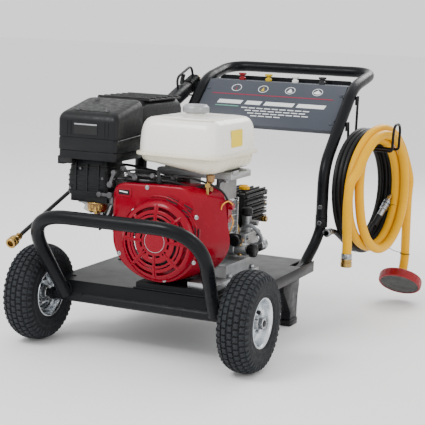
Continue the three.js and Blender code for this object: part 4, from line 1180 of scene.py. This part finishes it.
def add_alert():
    """The red oil alert box, its wires and the sensor they lead to."""
    alert = Shape().slab("x", round_rect(98, 121, 353, 411, 5, 5), 147, 195.6)
    alert.lathe("x", [(9, 190), (9, 205), (7.6, 206)], (108, 396), 28)
    alert.build("alert_box", "red_paint", replaces="oil_alert_unit", bevel=2.4, segments=3)
    vanes = Shape()
    for x in range(160, 189, 7):
        vanes.box(x, x + 3, 96.4, 98.2, 360, 404)
    vanes.build("alert_fins", "red_paint", bevel=0.5)
    wires = Shape()
    wires.wire([(198, 108, 396), (206, 100, 402), (200, 84, 412), (188, 74, 400), (182, 82, 372), (176, 96, 350),
                (168, 108, 330)], 1.7, 8)
    wires.wire([(196, 116, 372), (204, 112, 356), (200, 108, 336), (186, 120, 318), (172, 136, 306),
                (160, 150, 300)], 1.7, 8)
    wires.build("alert_wires", "orange_wire")
    lead = Shape().wire([(160, 150, 300), (176, 140, 286), (186, 130, 300), (178, 126, 330), (160, 130, 350)], 3.2)
    lead.wire([(-210, 150, 430), (-214, 100, 450), (-190, 92, 470), (-120, 110, 478), (-50, 120, 470),
               (10, 130, 458)], 3.4)
    lead.build("sensor_lead", "black_rubber")
    arm = (206, 298)
    knuckle = Shape().rod("y", 15, 188, 214, (176, 290), 28, 2).rod("x", 9, 150, 188, arm, 24)
    knuckle.hex_head("x", 15, 180, 192, arm).build("sensor_fitting", "black_plastic")
    side, foot = (176, 286), (178, 226)
    brass = Shape().rod("y", 8.4, 210, 236, side, 24).hex_head("y", 15, 224, 234, side)
    brass.rod("z", 6, 252, 284, foot, 24).hex_head("z", 13, 246, 256, foot).build("sensor_brass", "brass")


def add_muffler():
    keep("muffler", "black_steel", 2.5)
    guard = Shape()
    for y in range(170, 341, 34):
        guard.box(-237.6, -78.6, y, y + 8, 650, 654.5).box(-240, -236, y, y + 8, 505, 640)
    guard.box(-238, -78, 168, 362, 646, 650.4)
    guard.build("muffler_guard", "black_steel", bevel=1.2)
    pipe = Shape().lathe("y", [(11, 395), (17, 396), (17, 418), (15, 418), (15, 398)], (-190, 612), 36)
    pipe.build("muffler_outlet", "bare_steel")
    bolts([(-160, 395, 520), (-110, 395, 620)], "y", 1, 12, 8, 5).build("muffler_bolts", "bare_steel")


# ---- pump -------------------------------------------------------------------------------
def add_pump():
    keep("pump_crankcase", "black_steel", 1.0)
    keep("pump_manifold", "cast_alloy", 1.2)
    keep("unloader_knob", "black_plastic", 0.8)
    oil_at = (92, 446)
    cap = Shape().lathe("z", [(14.6, 392.6), (15, 394), (15, 400.6), (13.4, 401.6), (9.8, 402.2), (9.8, 404.4),
                              (8.6, 405)], oil_at, 36)
    cap.around(lambda: Shape().rod("z", 0.9, 393.4, 400.4, (14.6, 0), 6, 0.3), 16, Z, (*oil_at, 0))
    cap.build("pump_filler_cap", "yellow_pvc", "pump_cap", "pump_cap")
    fins = Shape()
    for i in range(9):
        z = 294 + i * 10.6
        fins.slab("z", round_rect(-29, 121, 402, 557, 6, 3), z, z + 3.2)
    for x in range(-22, 112, 19):
        fins.box(x, x + 4, 406, 553, 383, 389.5)
    fins.build("pump_fins", "black_steel", bevel=0.8)
    heads = Shape()
    for x in (-8, 46, 100):
        heads.lathe("y", [(15, 548), (15, 558), (12, 560), (0.2, 560)], (x, 340), 32)
        heads.hex_head("y", 20, 559, 567, (x, 340))
    heads.build("valve_caps", "brass")
    plug_at = (520, 300)
    Shape().rod("x", 9, 118, 128, plug_at).hex_head("x", 16, 126, 136, plug_at).build("pump_plug", "brass")
    rear = [(x, 556, z) for x in (-20, 112) for z in (300, 374)]
    bolts(rear, "y", 1, 10, 7, 6).build("pump_bolts", "bare_steel")
    side = [(149.5, y, z) for y in (338, 412) for z in (222, 274)]
    bolts(side, "x", 1, 10, 7, 5).build("manifold_bolts", "bare_steel")


def add_pump_fittings():
    """The outlet, the inlet, the flange on the engine and the bypass."""
    outlet, inlet, bypass = (128, 268), (124, 226), (112, 350)
    stub = Shape().lathe("y", [(10.8, 468), (11.6, 466), (11.6, 452), (12.8, 450), (12.8, 436), (11, 434)],
                         outlet, 36)
    for y in range(455, 466, 2):
        stub.lathe("y", [(11, y), (11.9, y + 1), (11, y + 2)], outlet, 36)
    stub.build("outlet_stub", "cast_alloy")
    pipe = Shape().lathe("y", [(15, 422), (16.4, 424), (16.4, 470), (17.6, 472), (17.6, 481)], inlet, 40)
    pipe.build("inlet_pipe", "black_steel")
    collar = Shape().lathe("y", [(17, 481.4), (19, 483), (19, 496), (18, 497), (18, 500), (19, 501), (19, 519.5),
                                 (17.6, 521.4), (13, 521.4), (13, 510)], inlet)
    collar.around(lambda: Shape().box(18.6, 19.4, 501, 519, -0.9, 0.9), 20, Y, (inlet[0], 0, inlet[1]))
    collar.build("inlet_collar", "bare_steel")
    flange = Shape().slab("y", round_rect(-26, 126, 232, 384, 26), 287, 297.4)
    flange.build("pump_flange", "cast_alloy", bevel=1.5)
    corners = [(x, 297.4, z) for x in (-10, 110) for z in (248, 368)]
    bolts(corners, "y", 1, 13, 9, 7).build("flange_bolts", "bare_steel")
    hose_path = [(140, 330, 300), (168, 320, 312), (186, 340, 290), (180, 370, 262), (152, 380, 246)]
    Shape().wire(hose_path, 5.2, 14).build("bypass_hose", "grey_hose")
    valve = Shape().hex_head("z", 18, 283, 296, bypass).rod("z", 8, 292, 306, bypass, 24)
    valve.build("bypass_valve", "brass")


# ---- assembly ---------------------------------------------------------------------------
add_camera()
add_studio()
add_yellow_hose()
add_black_hose()
add_tubes()
add_joints()
add_deck()
for wheel_name, wheel_side in (("right", 1), ("left", -1)):
    add_wheel(wheel_name, wheel_side)
    add_rim(wheel_name, wheel_side)
add_panel()
add_panel_print()
add_panel_fixings()
add_nozzles()
add_hook()
add_gun()
add_lance()
add_fan_cover()
add_louvres()
add_switch()
add_recoil()
add_starter()
add_tank()
add_tank_mount()
add_air_cleaner()
add_carburettor()
add_linkage()
add_block()
add_alert()
add_muffler()
add_pump()
add_pump_fittings()
